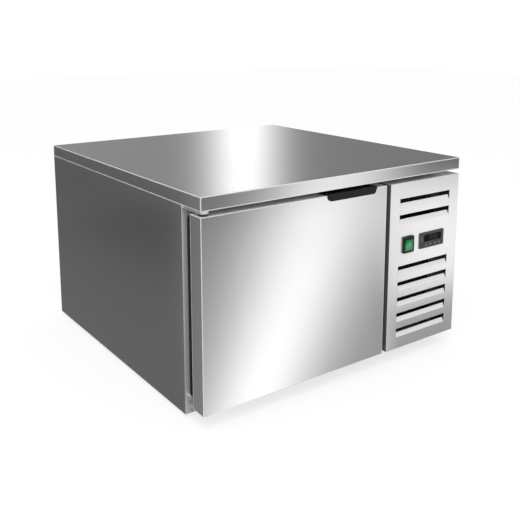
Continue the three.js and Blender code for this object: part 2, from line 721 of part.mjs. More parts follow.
// Motor, blade and the bar that carries the motor behind its sheet.
function fan(prefix, x, z, face) {
  const at = ([low, high]) => [face + low, face + high];
  const [hubFront, hubBack] = fanLayout.hub;
  const motorFront = fanLayout.motor[0];
  const motor = join(
    axle(x, at(fanLayout.motor), z, MOTOR_RADIUS),
    axle(x, at([motorFront - MOTOR_NOSE, motorFront]), z, MOTOR_NOSE_RADIUS),
    axle(x, at([hubFront + HUB_CAP + OVER, motorFront]), z, SHAFT_RADIUS, SIDES_SMALL),
  );
  add(`${prefix}_fan_motor`, motor, finish.blackPaint());

  const single = solid(bladeGeometry());
  const blades = Array.from({ length: FAN_BLADES }, (_, index) => (
    single.rotate([0, (index * 360) / FAN_BLADES, 0])
      .translate([x, face + hubFront + FAN_DEPTH / 2, z])
  ));
  const hub = axle(x, at(fanLayout.hub), z, HUB_RADIUS);
  const bore = axle(x, at([hubFront + HUB_CAP, hubBack + OVER]), z, SHAFT_RADIUS + GAP, SIDES_SMALL);
  add(`${prefix}_fan_blade`, cut(join(hub, ...blades), bore), finish.aluminium());

  const reach = fanRing + FAN_BAR_WIDTH;
  const legs = [z - reach, z + reach].map((end) => (
    block(about(x, FAN_BAR_WIDTH), at([SHEET, fanLayout.bar[1]]), about(end, FAN_BAR_THICK))
  ));
  const bar = block(about(x, FAN_BAR_WIDTH), at(fanLayout.bar), [z - reach, z + reach]);
  add(`${prefix}_fan_bracket`, join(bar, ...legs), finish.zinc());
}

// A wire guard: concentric rings on spokes whose ends turn back to the sheet.
function fanGuard(name, x, z, face) {
  const plane = face - GUARD_STANDOFF;
  const rings = Array.from({ length: GUARD_RINGS }, (_, index) => {
    const radius = (fanRing * (index + 1)) / GUARD_RINGS;
    const torus = new THREE.TorusGeometry(radius, GUARD_WIRE, SIDES_WIRE, SIDES_MEDIUM);
    torus.rotateX(QUARTER_TURN);
    return solid(torus).translate([x, plane, z]);
  });
  const reach = fanRing + GUARD_STANDOFF;
  const turns = Array.from({ length: GUARD_SPOKES }, (_, index) => ((index + 0.5) * 360) / GUARD_SPOKES);
  const spokes = turns.map((turn) => (
    post(0, 0, [0, reach], GUARD_WIRE, SIDES_WIRE).rotate([0, turn, 0]).translate([x, plane, z])
  ));
  const ends = turns.map((turn) => {
    const out = reach - GUARD_WIRE;
    const [across, rise] = [out * Math.sin(degrees(turn)), out * Math.cos(degrees(turn))];
    return axle(x + across, [plane, face], z + rise, GUARD_WIRE, SIDES_WIRE);
  });
  add(name, join(...rings, ...spokes, ...ends), finish.zinc());
}

// The sheet between the trays and the coil; the evaporator fan blows through its collar.
function fanPanel() {
  const wide = grown(cavity.x, -PANEL_SIDE_GAP);
  const { collar, hole } = fanOpening(cavityMiddle, cavityHalfHeight, panelFace);
  const sheet = join(
    block(wide, from(panelFace, SHEET), cavity.z),
    block(wide, from(panelFace, FLANGE), from(cavity.z[0], SHEET)),
    block(wide, from(panelFace, FLANGE), upTo(cavity.z[1], SHEET)),
  );
  add('fan_panel', join(cut(sheet, hole), collar), finish.steelMatt());
}

// A finned coil: a comb of fins in plan, with the copper return bends past its ends.
function finnedCoil(x, y, z) {
  const middle = (y[0] + y[1]) / 2;
  const core = about(middle, 2 * COIL_TUBE);
  const reach = x[1] - x[0] - FIN_THICK;
  const fins = Math.floor(reach / FIN_PITCH);
  const tooth = (index) => from(x[0] + (index * reach) / fins, FIN_THICK);
  const teeth = Array.from({ length: fins + 1 }, (_, index) => tooth(index));
  const fronts = teeth.flatMap(([low, high]) => [[low, core[0]], [low, y[0]], [high, y[0]], [high, core[0]]]);
  const rears = teeth.toReversed().flatMap(([low, high]) => (
    [[high, core[1]], [high, y[1]], [low, y[1]], [low, core[1]]]
  ));
  const comb = upright(outline([...fronts, ...rears]), z);
  const pairs = Math.floor((z[1] - z[0] - 2 * COIL_PITCH) / (2 * COIL_PITCH));
  const bends = x.flatMap((edge, side) => Array.from({ length: pairs }, (_, pair) => (
    returnBend(edge, side ? 1 : -1, middle, z[0] + COIL_PITCH * (2 * pair + (side ? 1.5 : 2.5)))
  )));
  return join(comb, ...bends);
}

// A half-round tube between two rows, its ends sunk into the coil.
function returnBend(edge, outward, y, z) {
  const radius = COIL_PITCH / 2;
  const arc = [0, 0.25, 0.5, 0.75, 1].map((share) => {
    const angle = share * HALF_TURN;
    return [edge + outward * (radius * Math.sin(angle)), y, z + radius * Math.cos(angle)];
  });
  const sunk = edge - outward * OVER;
  const route = [[sunk, y, z + radius], ...arc, [sunk, y, z - radius]];
  return solid(pipe(route, COIL_TUBE, BEND_STEPS, PIPE_SIDES - 2));
}

function evaporator() {
  const x = grown(cavity.x, -COIL_SIDE_GAP);
  const y = evaporatorSpan;
  const z = [cavity.z[0] + DRIP_TRAY_HEIGHT + SHEET, cavity.z[1] - COIL_TOP_GAP];
  add('evaporator_coil', join(
    finnedCoil(x, y, z),
    axleX([x[1] - STUB_SEAT, evaporatorStub], stubDepth, capillaryHeight, PIPE_RADIUS),
    axleX([x[1] - STUB_SEAT, evaporatorStub], stubDepth, suctionHeight, PIPE_RADIUS),
  ), finish.aluminium());
  const trayX = grown(x, COIL_TUBE);
  const trayY = grown(y, COIL_TUBE);
  const trayZ = from(cavity.z[0], DRIP_TRAY_HEIGHT);
  const rest = block(x, about((y[0] + y[1]) / 2, DRIP_TRAY_REST), [cavity.z[0] + SHEET, z[0]]);
  add('drip_tray', join(cut(
    block(trayX, trayY, trayZ),
    block(grown(trayX, -SHEET), grown(trayY, -SHEET), [cavity.z[0] + SHEET, trayZ[1] + OVER]),
  ), rest), finish.steelMatt());
}

// ---------------------------------------------------------------- machine room
// The holes that the evaporator's two pipes take through liner, foam and partition.
function pipeHoles() {
  return [capillaryHeight, suctionHeight].map((z) => (
    axleX([cavity.x[1] - OVER, partition + SHEET + OVER], stubDepth, z, PIPE_RADIUS + GAP)
  ));
}

function condenser() {
  const x = grown(machine.x, -COIL_SIDE_GAP);
  const y = condenserSpan;
  const z = [baseTop, condenserTop];
  const stubs = [x[0], x[1]].map((edge, side) => post(
    edge + (side ? -1 : 1) * STUB_INSET,
    (y[0] + y[1]) / 2,
    [z[1] - STUB_SEAT, z[1] + STUB_LENGTH],
    PIPE_RADIUS,
    SIDES_SMALL,
  ));
  add('condenser_coil', join(finnedCoil(x, y, z), ...stubs), finish.blackPaint());

  const { collar, hole } = fanOpening(machineMiddle, condenserFanHeight, shroudFace);
  const shroud = join(
    block(grown(machine.x, -SHEET), from(shroudFace, SHEET), z),
    block(grown(machine.x, -SHEET), from(shroudFace, FLANGE), from(z[0], SHEET)),
  );
  add('condenser_shroud', join(cut(shroud, hole), collar), finish.blackPaint());
  fan('condenser', machineMiddle, condenserFanHeight, shroudFace);
}

// A welded hermetic shell on a foot plate, with two pipe stubs in its dome.
function compressor() {
  const { x, y } = compressorAt;
  const foot = baseTop + GROMMET_HEIGHT;
  const shell = turned(SHELL_PROFILE.map(([share, rise, rim = 0]) => (
    [COMPRESSOR_RADIUS * share + rim, COMPRESSOR_HEIGHT * rise]
  ))).translate([x, y, foot + FOOT_THICK - SHELL_SINK]);
  const corners = [-1, 1].flatMap((sx) => [-1, 1].map((sy) => (
    [x + sx * GROMMET_SPREAD_X, y + sy * GROMMET_SPREAD_Y]
  )));
  const ear = GROMMET_RADIUS + FOOT_EDGE;
  const plates = [-1, 1].map((side) => upright(roundedRectangle(
    about(x + side * GROMMET_SPREAD_X, 2 * ear),
    about(y, 2 * (GROMMET_SPREAD_Y + ear)),
    FOOT_CORNER,
  ), from(foot, FOOT_THICK)));
  const web = block(about(x, 2 * GROMMET_SPREAD_X), about(y, COMPRESSOR_RADIUS), from(foot, FOOT_THICK));
  const holeZ = grown(from(foot, FOOT_THICK), OVER);
  const holes = corners.map(([cx, cy]) => post(cx, cy, holeZ, GROMMET_NECK + GAP, SIDES_SMALL));
  const stubZ = [compressorTop - 2 * STUB_LENGTH, compressorTop + STUB_LENGTH];
  const stubs = stubAt.map(([sx, sy]) => post(sx, sy, stubZ, PIPE_RADIUS, SIDES_SMALL));
  add('compressor', join(cut(join(...plates, web), ...holes), shell, ...stubs), finish.blackPaint());

  const neckTop = GROMMET_HEIGHT + FOOT_THICK + GROMMET_HEAD;
  for (const [index, [cx, cy]] of corners.entries()) {
    const grommet = turned([
      [0, 0],
      [GROMMET_RADIUS, 0],
      [GROMMET_RADIUS - GROMMET_WAIST, GROMMET_HEIGHT / 2],
      [GROMMET_RADIUS, GROMMET_HEIGHT],
      [GROMMET_NECK, GROMMET_HEIGHT],
      [GROMMET_NECK, neckTop],
      [0, neckTop],
    ], SIDES_SMALL);
    add(`compressor_grommet_${index + 1}`, grommet.translate([cx, cy, baseTop]), finish.rubber());
  }

  const cover = block(
    about(x, RELAY_WIDTH),
    [y - COMPRESSOR_RADIUS - RELAY_DEPTH, y],
    from(foot + FOOT_THICK + RELAY_LIFT, RELAY_HEIGHT),
  );
  const shellSpace = post(x, y, [foot, compressorTop], COMPRESSOR_RADIUS + GAP);
  add('relay_cover', cut(cover, shellSpace), finish.blackPlastic());
}

// The four pipe runs, from the stub at one end to the stub at the other.
function pipeRoutes() {
  const [[hotX, hotY], [coldX, coldY]] = stubAt;
  const end = compressorTop + STUB_LENGTH + GAP;
  const coilX = grown(machine.x, -COIL_SIDE_GAP - STUB_INSET);
  const coilY = (condenserSpan[0] + condenserSpan[1]) / 2;
  const coilEnd = condenserTop + STUB_LENGTH + GAP;
  const evaporatorEnd = evaporatorStub + GAP;
  const level = drierAt.z - PIPE_LEVELS;
  const forward = (share) => THREE.MathUtils.lerp(hotY, coilY, share);
  return {
    discharge_pipe: [
      [hotX, hotY, end],
      [hotX, hotY, end + DISCHARGE_RISE],
      [hotX, forward(0.15), level],
      [hotX, forward(0.75), level],
      [coilX[0], coilY + PIPE_BEND, level],
      [coilX[0], coilY, coilEnd + PIPE_BEND],
      [coilX[0], coilY, coilEnd],
    ],
    liquid_pipe: [
      [coilX[1], coilY, coilEnd],
      [coilX[1], coilY, coilEnd + PIPE_BEND],
      [coilX[1], coilY + PIPE_BEND, drierAt.z],
      [drierAt.x, drierAt.y[0] - DRIER_LEAD, drierAt.z],
      [drierAt.x, drierAt.y[0] - GAP, drierAt.z],
    ],
    capillary_pipe: [
      [drierAt.x, drierAt.y[1] + GAP, drierAt.z],
      [drierAt.x, drierAt.y[1] + DRIER_LEAD, drierAt.z],
      [drierAt.x - PIPE_SWEEP, stubDepth - PIPE_BEND, drierAt.z],
      [evaporatorEnd + PIPE_SWEEP, stubDepth, capillaryHeight],
      [evaporatorEnd + PIPE_BEND, stubDepth, capillaryHeight],
      [evaporatorEnd, stubDepth, capillaryHeight],
    ],
    suction_pipe: [
      [evaporatorEnd, stubDepth, suctionHeight],
      [evaporatorEnd + 2 * PIPE_BEND, stubDepth, suctionHeight],
      [coldX - PIPE_BEND, coldY + PIPE_BEND / 2, suctionHeight],
      [coldX, coldY, end + SUCTION_RISE],
      [coldX, coldY, end],
    ],
  };
}

function refrigerantPipes() {
  for (const [name, points] of Object.entries(pipeRoutes())) {
    add(name, pipe(points, PIPE_RADIUS, PIPE_STEPS), finish.copper());
  }

  const drier = turned([
    [0, 0],
    [PIPE_RADIUS, 0],
    [PIPE_RADIUS, DRIER_NECK],
    [DRIER_RADIUS, DRIER_SHOULDER],
    [DRIER_RADIUS, DRIER_LENGTH - DRIER_SHOULDER],
    [PIPE_RADIUS, DRIER_LENGTH - DRIER_NECK],
    [PIPE_RADIUS, DRIER_LENGTH],
    [0, DRIER_LENGTH],
  ], SIDES_SMALL).rotate([-90, 0, 0]);
  add('filter_drier', drier.translate([drierAt.x, drierAt.y[0], drierAt.z]), finish.copper());
}

// A folded box on the partition, closed by a lid that slips over it.
function electricalBox() {
  const x = from(machine.x[0], BOX_DEPTH);
  const shell = cut(
    block(x, boxSpan.y, boxSpan.z),
    block([x[0] + SHEET, x[1] + OVER], grown(boxSpan.y, -SHEET), grown(boxSpan.z, -SHEET)),
  );
  add('electrical_box', shell, finish.zinc());
  const lidX = [x[1] - LID_OVERLAP, x[1] + SHEET];
  const lid = cut(
    block(lidX, grown(boxSpan.y, SHEET + GAP), grown(boxSpan.z, SHEET + GAP)),
    block([lidX[0] - OVER, x[1]], grown(boxSpan.y, GAP), grown(boxSpan.z, GAP)),
  );
  add('electrical_box_lid', lid, finish.zinc());
}

// The gland that would clamp the mains lead, in the rear panel.
function cableGland() {
  const { x, z } = gland;
  const through = [rearFace - GLAND_INSIDE, back + GLAND_PROUD];
  const body = join(
    axle(x, through, z, GLAND_RADIUS, SIDES_SMALL),
    axle(x, from(back - SHEET, GLAND_NUT), z, GLAND_RADIUS + GLAND_FLATS, 6),
    axle(x, upTo(rearFace, GLAND_NUT), z, GLAND_RADIUS + GLAND_FLATS, 6),
  );
  const bore = axle(x, grown(through, OVER), z, GLAND_RADIUS - GLAND_WALL, SIDES_SMALL);
  add('cable_gland', cut(body, bore), finish.blackPlastic());
}

// ---------------------------------------------------------------- louvred cover
// One pressed louvre: the slot in the sheet and the lip folded inward from its lower edge.
function louvre(top) {
  const x = about(coverMiddle, LOUVRE_LENGTH);
  const lower = top - louvreHeight;
  const tip = top - LOUVRE_SLIT;
  const slot = block(x, grown(from(front, SHEET), OVER), [lower, top]);
  const lip = sideOn(outline([
    [front, lower - SHEET],
    [front + SHEET, lower - SHEET],
    [front + LOUVRE_DROP + SHEET, tip],
    [front + LOUVRE_DROP, tip],
    [front, lower],
  ]), grown(x, -LIP_END_GAP));
  return { slot, lip };
}

function louvredCover() {
  const x = [coverLeft, right];
  const z = [coverBottom, coverTop];
  const shell = cut(
    block(x, [front, frameFace], z),
    block(grown(x, -SHEET), [front + SHEET, frameFace + OVER], grown(z, -SHEET)),
  );
  const group = (first, count) => (
    Array.from({ length: count }, (_, row) => coverTop - first - row * louvrePitch)
  );
  const tops = [...group(LOUVRE_FIRST, LOUVRES_ABOVE), ...group(LOUVRE_SECOND, LOUVRES_BELOW)];
  const louvres = tops.map(louvre);
  const through = grown(from(front, SHEET), OVER);
  const cutouts = [
    block(grown(switchX, GAP - SWITCH_LAND), through, grown(switchZ, GAP - SWITCH_LAND)),
    block(grown(controlX, GAP - CONTROL_LAND), through, grown(controlZ, GAP - CONTROL_LAND)),
  ];
  const sheet = cut(shell, ...louvres.map(({ slot }) => slot), ...cutouts);
  add('louvred_cover', join(sheet, ...louvres.map(({ lip }) => lip)), finish.steel());
}

// ---------------------------------------------------------------- switch
// The rocker's side view about its pivot, resting with its lower end pressed in.
function rockerOutline() {
  const half = ROCKER_HEIGHT / 2;
  const tilt = degrees(ROCKER_TILT);
  const proud = (SWITCH_PROUD + ROCKER_SINK - half * Math.sin(tilt)) / Math.cos(tilt);
  const face = [1, 0.67, 0.33, 0, -0.33, -0.67, -1].map((share) => (
    [-(proud - ROCKER_DISH * (1 - share * share)), share * half]
  ));
  const rear = [
    [ROCKER_SHOULDER, -half],
    [ROCKER_KEEL, -half / 2],
    [ROCKER_KEEL, half / 2],
    [ROCKER_SHOULDER, half],
  ];
  return outline([...face, ...rear].map(([y, z]) => [
    front + ROCKER_SINK + y * Math.cos(tilt) - z * Math.sin(tilt),
    panelHeight + y * Math.sin(tilt) + z * Math.cos(tilt),
  ]));
}

function rockerSwitch() {
  const middle = (switchX[0] + switchX[1]) / 2;
  const bezel = frontOn(roundedRectangle(switchX, switchZ, BEZEL_CORNER), upTo(front, SWITCH_BEZEL));
  const body = block(
    grown(switchX, -SWITCH_LAND),
    [front - SWITCH_BEZEL / 2, front + SWITCH_BODY_DEPTH],
    grown(switchZ, -SWITCH_LAND),
  );
  const recess = block(
    about(middle, ROCKER_WIDTH + 2 * GAP),
    [front - SWITCH_BEZEL - OVER, front + ROCKER_RECESS],
    about(panelHeight, ROCKER_HEIGHT + 2 * ROCKER_SWING),
  );
  add('switch_body', cut(join(bezel, body), recess), finish.blackPlastic());
  add('switch_rocker', sideOn(rockerOutline(), about(middle, ROCKER_WIDTH)), finish.green());
}

// ---------------------------------------------------------------- controller
function controller() {
  const face = front - CONTROL_BEZEL;
  const windowX = from(controlX[0] + WINDOW_LEFT, WINDOW_WIDTH);
  const windowZ = upTo(controlZ[1] - WINDOW_TOP, WINDOW_HEIGHT);
  const keyZ = about(controlZ[0] + KEY_BOTTOM, KEY_HEIGHT);
  const keys = KEY_LEFTS.map((offset) => about(controlX[0] + offset, KEY_WIDTH));
  const pockets = keys.map((x) => block(
    grown(x, GAP),
    [face - OVER, face + KEY_STEM + KEY_TRAVEL + GAP],
    grown(keyZ, GAP),
  ));
  const casing = join(
    frontOn(roundedRectangle(controlX, controlZ, BEZEL_CORNER), [face, front]),
    block(
      grown(controlX, -CONTROL_LAND),
      [front - CONTROL_BEZEL / 2, front + CONTROL_DEPTH],
      grown(controlZ, -CONTROL_LAND),
    ),
  );
  const windowPocket = block(windowX, [face - OVER, face + WINDOW_THICK], windowZ);
  add('controller_case', cut(casing, windowPocket, ...pockets), finish.greyPlastic());
  add('controller_window', block(windowX, [face + GAP, face + WINDOW_THICK], windowZ), finish.glass());
  for (const [index, x] of keys.entries()) {
    const outer = roundedRectangle(x, keyZ, KEY_CORNER);
    const key = frontOn(outer, [face - KEY_PROUD, face + KEY_STEM], ARC_STEPS);
    add(`controller_key_${index + 1}`, key, finish.greyPlastic());
  }
}

// ---------------------------------------------------------------- door
// The inner liner's hollow: its pan and the pressing at its centre.
function doorHollow(shrink) {
  const x = grown([doorInsetLeft, doorInsetRight], -shrink);
  const z = grown([doorInsetBottom, doorInsetTop], -shrink);
  const margin = GASKET_WIDTH + BOSS_MARGIN;
  return join(
    block(x, [skinBack - SHEET, linerBack - shrink], z),
    block(
      grown(x, -margin),
      [linerBack - SHEET - OVER, linerBack + LINER_BOSS - shrink],
      grown(z, -margin),
    ),
  );
}

function doorTrough(grow) {
  return block(
    grown([pullX[0] + TROUGH_MARGIN, pullX[1] - TROUGH_MARGIN], grow),
    grown(from(front + TROUGH_START, TROUGH_WIDTH), grow),
    [coverTop - TROUGH_DEPTH - grow, coverTop + PULL_WALL + OVER],
  );
}

function bushHole(edge, inward, grow) {
  const span = [edge - inward, edge + inward * (BUSH_DEPTH + grow)].sort((a, b) => a - b);
  return post(hinge.x, hinge.y, span, BUSH_RADIUS + grow);
}

function door() {
  const bushHoles = [bushHole(coverTop, -1, GAP), bushHole(coverBottom, 1, GAP)];
  const trough = doorTrough(PULL_WALL + GAP);
  const x = [left, doorRight];
  const z = [coverBottom, coverTop];
  const mouth = block(
    [doorInsetLeft, doorInsetRight],
    [skinBack - SHEET - OVER, skinBack + OVER],
    [doorInsetBottom, doorInsetTop],
  );
  const skin = cut(
    block(x, [front, skinBack], z),
    block(grown(x, -SHEET), [front + SHEET, skinBack - SHEET], grown(z, -SHEET)),
    mouth,
    trough,
    ...bushHoles,
  );
  add('door_outer_skin', skin, finish.steel());

  const pan = cut(doorHollow(0), doorHollow(SHEET), block(
    grown([doorInsetLeft, doorInsetRight], -SHEET),
    [skinBack - SHEET - OVER, skinBack],
    grown([doorInsetBottom, doorInsetTop], -SHEET),
  ));
  add('door_inner_liner', pan, finish.steelMatt());

  const core = join(
    block(grown(x, -SHEET), [front + SHEET, skinBack - SHEET], grown(z, -SHEET)),
    doorHollow(SHEET),
  );
  add('door_foam', cut(core, trough, ...bushHoles), finish.foam());

  const edgeX = [doorInsetLeft, doorInsetRight];
  const edgeZ = [doorInsetBottom, doorInsetTop];
  const ring = sheetRing(edgeX, edgeZ, GASKET_CORNER, GASKET_WIDTH);
  const groove = sheetRing(grown(edgeX, OVER), grown(edgeZ, OVER), GASKET_CORNER, OVER + GASKET_GROOVE);
  const bellows = frontOn(groove, about(linerBack + GASKET_THICK / 2, GASKET_GROOVE), ARC_STEPS);
  const whole = frontOn(ring, from(linerBack, GASKET_THICK), ARC_STEPS);
  add('door_gasket', cut(whole, bellows), finish.rubber());
}

// The moulded pull: a lip over the door's face, a finger trough behind it and a flange round the trough.
function doorPull() {
  const lip = new THREE.Shape();
  const lower = coverTop - PULL_DROP;
  const [lowLeft, lowRight] = grown(pullX, -PULL_TAPER);
  const [slantLeft, slantRight] = grown(pullX, -PULL_SLANT);
  lip.moveTo(pullX[0], coverTop + PULL_WALL);
  lip.lineTo(slantLeft, lower + PULL_CORNER);
  lip.quadraticCurveTo(lowLeft, lower, lowLeft + PULL_CORNER, lower);
  lip.lineTo(lowRight - PULL_CORNER, lower);
  lip.quadraticCurveTo(lowRight, lower, slantRight, lower + PULL_CORNER);
  lip.lineTo(pullX[1], coverTop + PULL_WALL);
  const flange = upright(
    roundedRectangle(pullX, [front, front + PULL_FLANGE], PULL_FLANGE_CORNER),
    from(coverTop, PULL_WALL),
  );
  const body = join(frontOn(lip, upTo(front, PULL_WALL)), flange, doorTrough(PULL_WALL));
  const headroom = block(
    grown(pullX, OVER),
    grown([front - PULL_WALL, front + PULL_FLANGE], OVER),
    from(coverTop + PULL_WALL, 2 * OVER),
  );
  add('door_pull', cut(body, headroom, doorTrough(0)), finish.blackPlastic());
}

// ---------------------------------------------------------------- hinges
// A bracket's arm in plan: round about the pin, straight back to its fixing.
function hingeArm(radius) {
  const arm = new THREE.Shape();
  arm.moveTo(hinge.x + radius, frameFace);
  arm.lineTo(hinge.x + radius, hinge.y);
  arm.absarc(hinge.x, hinge.y, radius, 0, -HALF_TURN, true);
  arm.lineTo(hinge.x - radius, frameFace);
  return arm;
}

// A bush in the door's edge, with a flange between the door and the bracket.
function hingeBush(edge, outward, flange) {
  const span = (near, far) => [edge + outward * near, edge + outward * far].sort((a, b) => a - b);
  return cut(
    join(
      post(hinge.x, hinge.y, span(-BUSH_DEPTH, flange), BUSH_RADIUS),
      post(hinge.x, hinge.y, span(GAP, flange), BUSH_RADIUS + BUSH_FLANGE),
    ),
    post(hinge.x, hinge.y, span(PIN_END_GAP - BUSH_DEPTH, flange + OVER), PIN_RADIUS + GAP),
  );
}

function hinges() {
  const upper = upTo(topUnder, UPPER_PLATE);
  add('hinge_bracket_top', join(
    upright(hingeArm(HINGE_RADIUS), upper, SIDES_SMALL),
    post(hinge.x, hinge.y, [upper[0] - PIN_LENGTH, upper[0] + OVER], PIN_RADIUS),
  ), finish.zinc());

  const lower = upTo(coverBottom - LOWER_WASHER - GAP, LOWER_PLATE);
  const footX = from(hinge.x, BRACKET_FOOT);
  add('hinge_bracket_bottom', join(
    upright(hingeArm(LOWER_RADIUS), lower, SIDES_SMALL),
    block(footX, upTo(frameFace, LOWER_PLATE), [bodyBottom + FOOT_LIFT, lower[1]]),
    post(hinge.x, hinge.y, [lower[1] - OVER, lower[1] + PIN_LENGTH], PIN_RADIUS),
  ), finish.zinc());

  add('hinge_bush_top', hingeBush(coverTop, 1, upperWasher), finish.blackPlastic());
  add('hinge_bush_bottom', hingeBush(coverBottom, -1, LOWER_WASHER), finish.blackPlastic());
}

// ---------------------------------------------------------------- assembly
worktop();
sidePanel('left_side_panel', left, 1);
sidePanel('right_side_panel', right, -1);
rearPanel();
baseTray();
rubberPads();
frontFrame();
coldRoom();
trayRack('tray_rack_left', cavity.x[0], 1);
trayRack('tray_rack_right', cavity.x[1], -1);
fanPanel();
fan('evaporator', cavityMiddle, cavityHalfHeight, panelFace);
fanGuard('evaporator_fan_guard', cavityMiddle, cavityHalfHeight, panelFace);
evaporator();
condenser();
compressor();
refrigerantPipes();
electricalBox();
cableGland();
louvredCover();
rockerSwitch();
controller();
door();
doorPull();
hinges();

export default chiller;
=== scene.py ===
# %% [markdown]
# # Dressing a countertop blast chiller
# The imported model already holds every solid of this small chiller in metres: cabinet, door, fans and switch.
# This lesson keeps those solids where they are and gives them what a drawing lacks: sheet steel that mirrors
# a studio, moulded plastic, rubber, copper, small screws, a display, light and a camera.

import math

import bmesh
import bpy
from mathutils import Matrix, Vector
from mathutils.bvhtree import BVHTree


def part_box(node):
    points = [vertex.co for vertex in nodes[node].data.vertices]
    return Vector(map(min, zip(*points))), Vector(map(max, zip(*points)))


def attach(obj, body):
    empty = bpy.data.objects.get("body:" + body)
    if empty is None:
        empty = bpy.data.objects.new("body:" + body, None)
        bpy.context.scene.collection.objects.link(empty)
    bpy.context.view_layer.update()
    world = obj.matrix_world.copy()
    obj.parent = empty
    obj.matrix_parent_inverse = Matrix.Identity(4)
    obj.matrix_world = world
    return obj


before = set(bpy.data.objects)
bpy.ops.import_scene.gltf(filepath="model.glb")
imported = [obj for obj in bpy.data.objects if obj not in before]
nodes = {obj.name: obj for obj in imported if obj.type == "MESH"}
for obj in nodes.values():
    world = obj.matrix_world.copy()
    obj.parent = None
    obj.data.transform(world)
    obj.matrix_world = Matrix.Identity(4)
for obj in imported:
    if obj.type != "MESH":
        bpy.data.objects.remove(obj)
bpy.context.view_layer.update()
MM = 0.001

# %% [markdown]
# ## The camera
# The picture was taken from the front left, a little above the worktop, with the upright edges kept upright.
# A real photographer does that by holding the camera nearly level and sliding the lens, so the camera here
# has a small vertical shift and little tilt. Its place was found by fitting 22 corners and edges.

# %% Camera
PHOTO_WIDTH = 520
SENSOR = 36.0
FOCAL_PIXELS = 727.45
OPTICAL_ROW = 160
CAMERA_PLACE = Vector((-0.9252, -1.3351, 0.6912))
CAMERA_YAW = math.radians(35.806)
CAMERA_PITCH = math.radians(10.190)


def aimed(yaw, pitch):
    """The rotation of a camera turned yaw to the right of +Y and tipped pitch down."""
    forward = Vector((math.sin(yaw) * math.cos(pitch), math.cos(yaw) * math.cos(pitch), -math.sin(pitch)))
    right = Vector((math.cos(yaw), -math.sin(yaw), 0))
    upward = right.cross(forward)
    return Matrix((right, upward, -forward)).transposed().to_4x4()


camera_data = bpy.data.cameras.new("photo_camera")
camera_data.sensor_width = SENSOR
camera_data.lens = FOCAL_PIXELS / PHOTO_WIDTH * SENSOR
camera_data.shift_y = (OPTICAL_ROW - PHOTO_WIDTH / 2) / PHOTO_WIDTH
camera = bpy.data.objects.new("photo_camera", camera_data)
camera.matrix_world = Matrix.Translation(CAMERA_PLACE) @ aimed(CAMERA_YAW, CAMERA_PITCH)
bpy.context.scene.collection.objects.link(camera)
bpy.context.scene.camera = camera
bpy.context.scene.view_settings.view_transform = "Standard"
print("camera lens", round(camera_data.lens, 2), "mm, shift", round(camera_data.shift_y, 3))

# %% [markdown]
# ## Small helpers for node trees
# A material is a graph. Writing every node and link by hand hides the idea, so a few helpers do the wiring:
# one puts a node down, some do arithmetic and mixing, and one makes a reusable group with named sockets.
# Groups could also be drawn in the shader editor and appended from a file, but then the script would need it.

# %% Helpers that build node trees


def connect(tree, socket, value):
    """Feeds a socket from another node's output, or sets it to a plain number or colour."""
    if isinstance(value, bpy.types.NodeSocket):
        tree.links.new(value, socket)
    else:
        socket.default_value = value


def put(tree, kind, settings=None, inputs=None):
    """A new shader node with its settings and its inputs, which are named or numbered."""
    made = tree.nodes.new("ShaderNode" + kind)
    for name, value in (settings or {}).items():
        setattr(made, name, value)
    for name, value in (inputs or {}).items():
        connect(tree, made.inputs[name], value)
    return made


def calc(tree, operation, *values):
    """The result of a Math node."""
    made = put(tree, "Math", {"operation": operation})
    for socket, value in zip(made.inputs, values):
        connect(tree, socket, value)
    return made.outputs[0]


print("node helpers: connect, put, calc")

# %% Helpers that multiply, ramp and mix


def times(tree, product, *others):
    """The product of all its values."""
    for other in others:
        product = calc(tree, "MULTIPLY", product, other)
    return product


def ramp(tree, value, low, high, out_low=0.0, out_high=1.0, smooth=True):
    """value carried from low..high to out_low..out_high, with soft ends where smooth."""
    made = put(tree, "MapRange", {"interpolation_type": "SMOOTHSTEP" if smooth else "LINEAR"},
               {"Value": value, "From Min": low, "From Max": high, "To Min": out_low, "To Max": out_high})
    return made.outputs["Result"]


def mixed(tree, share, first, second):
    """A colour between first and second."""
    made = put(tree, "Mix", {"data_type": "RGBA"}, {0: share, 6: first, 7: second})
    return made.outputs[2]


def between(tree, share, first, second):
    """A number between first and second."""
    made = put(tree, "Mix", {"data_type": "FLOAT"}, {0: share, 2: first, 3: second})
    return made.outputs[0]


def facing(tree, axis):
    """1 on faces turned along axis, 0 on the others."""
    normal = put(tree, "NewGeometry").outputs["Normal"]
    turned = put(tree, "VectorMath", {"operation": "DOT_PRODUCT"}, {0: normal, 1: axis})
    return ramp(tree, turned.outputs["Value"], 0.7, 0.9)


print("value helpers: times, ramp, mixed, between, facing")

# %% Helpers that make and use groups


def group_of(name, inputs, outputs):
    """An empty shader group: (its tree, its input node, its output node)."""
    tree = bpy.data.node_groups.new(name, "ShaderNodeTree")
    for label, kind, default in inputs:
        socket = tree.interface.new_socket(name=label, in_out="INPUT", socket_type="NodeSocket" + kind)
        socket.default_value = default
    for label, kind in outputs:
        tree.interface.new_socket(name=label, in_out="OUTPUT", socket_type="NodeSocket" + kind)
    return tree, tree.nodes.new("NodeGroupInput"), tree.nodes.new("NodeGroupOutput")


def use(tree, group, **values):
    """A group placed in a material, its inputs named with _ for a space."""
    made = tree.nodes.new("ShaderNodeGroup")
    made.node_tree = group
    for name, value in values.items():
        connect(tree, made.inputs[name.replace("_", " ")], value)
    return made


print("group helpers: group_of, use")

# %% [markdown]
# ## Effects that several materials share
# Sheet steel is rolled and then brushed, which leaves fine streaks in one direction. Streaks come from noise
# that is stretched along the brushing, because a painted texture would need unwrapping and would repeat.
# Every real edge is slightly round and catches a thread of light, so one group rounds the normals at edges
# and also gives a mask of where the edges are. Plastic has a fine spark-eroded grain, and everything that is
# handled has a faint unevenness in its gloss.

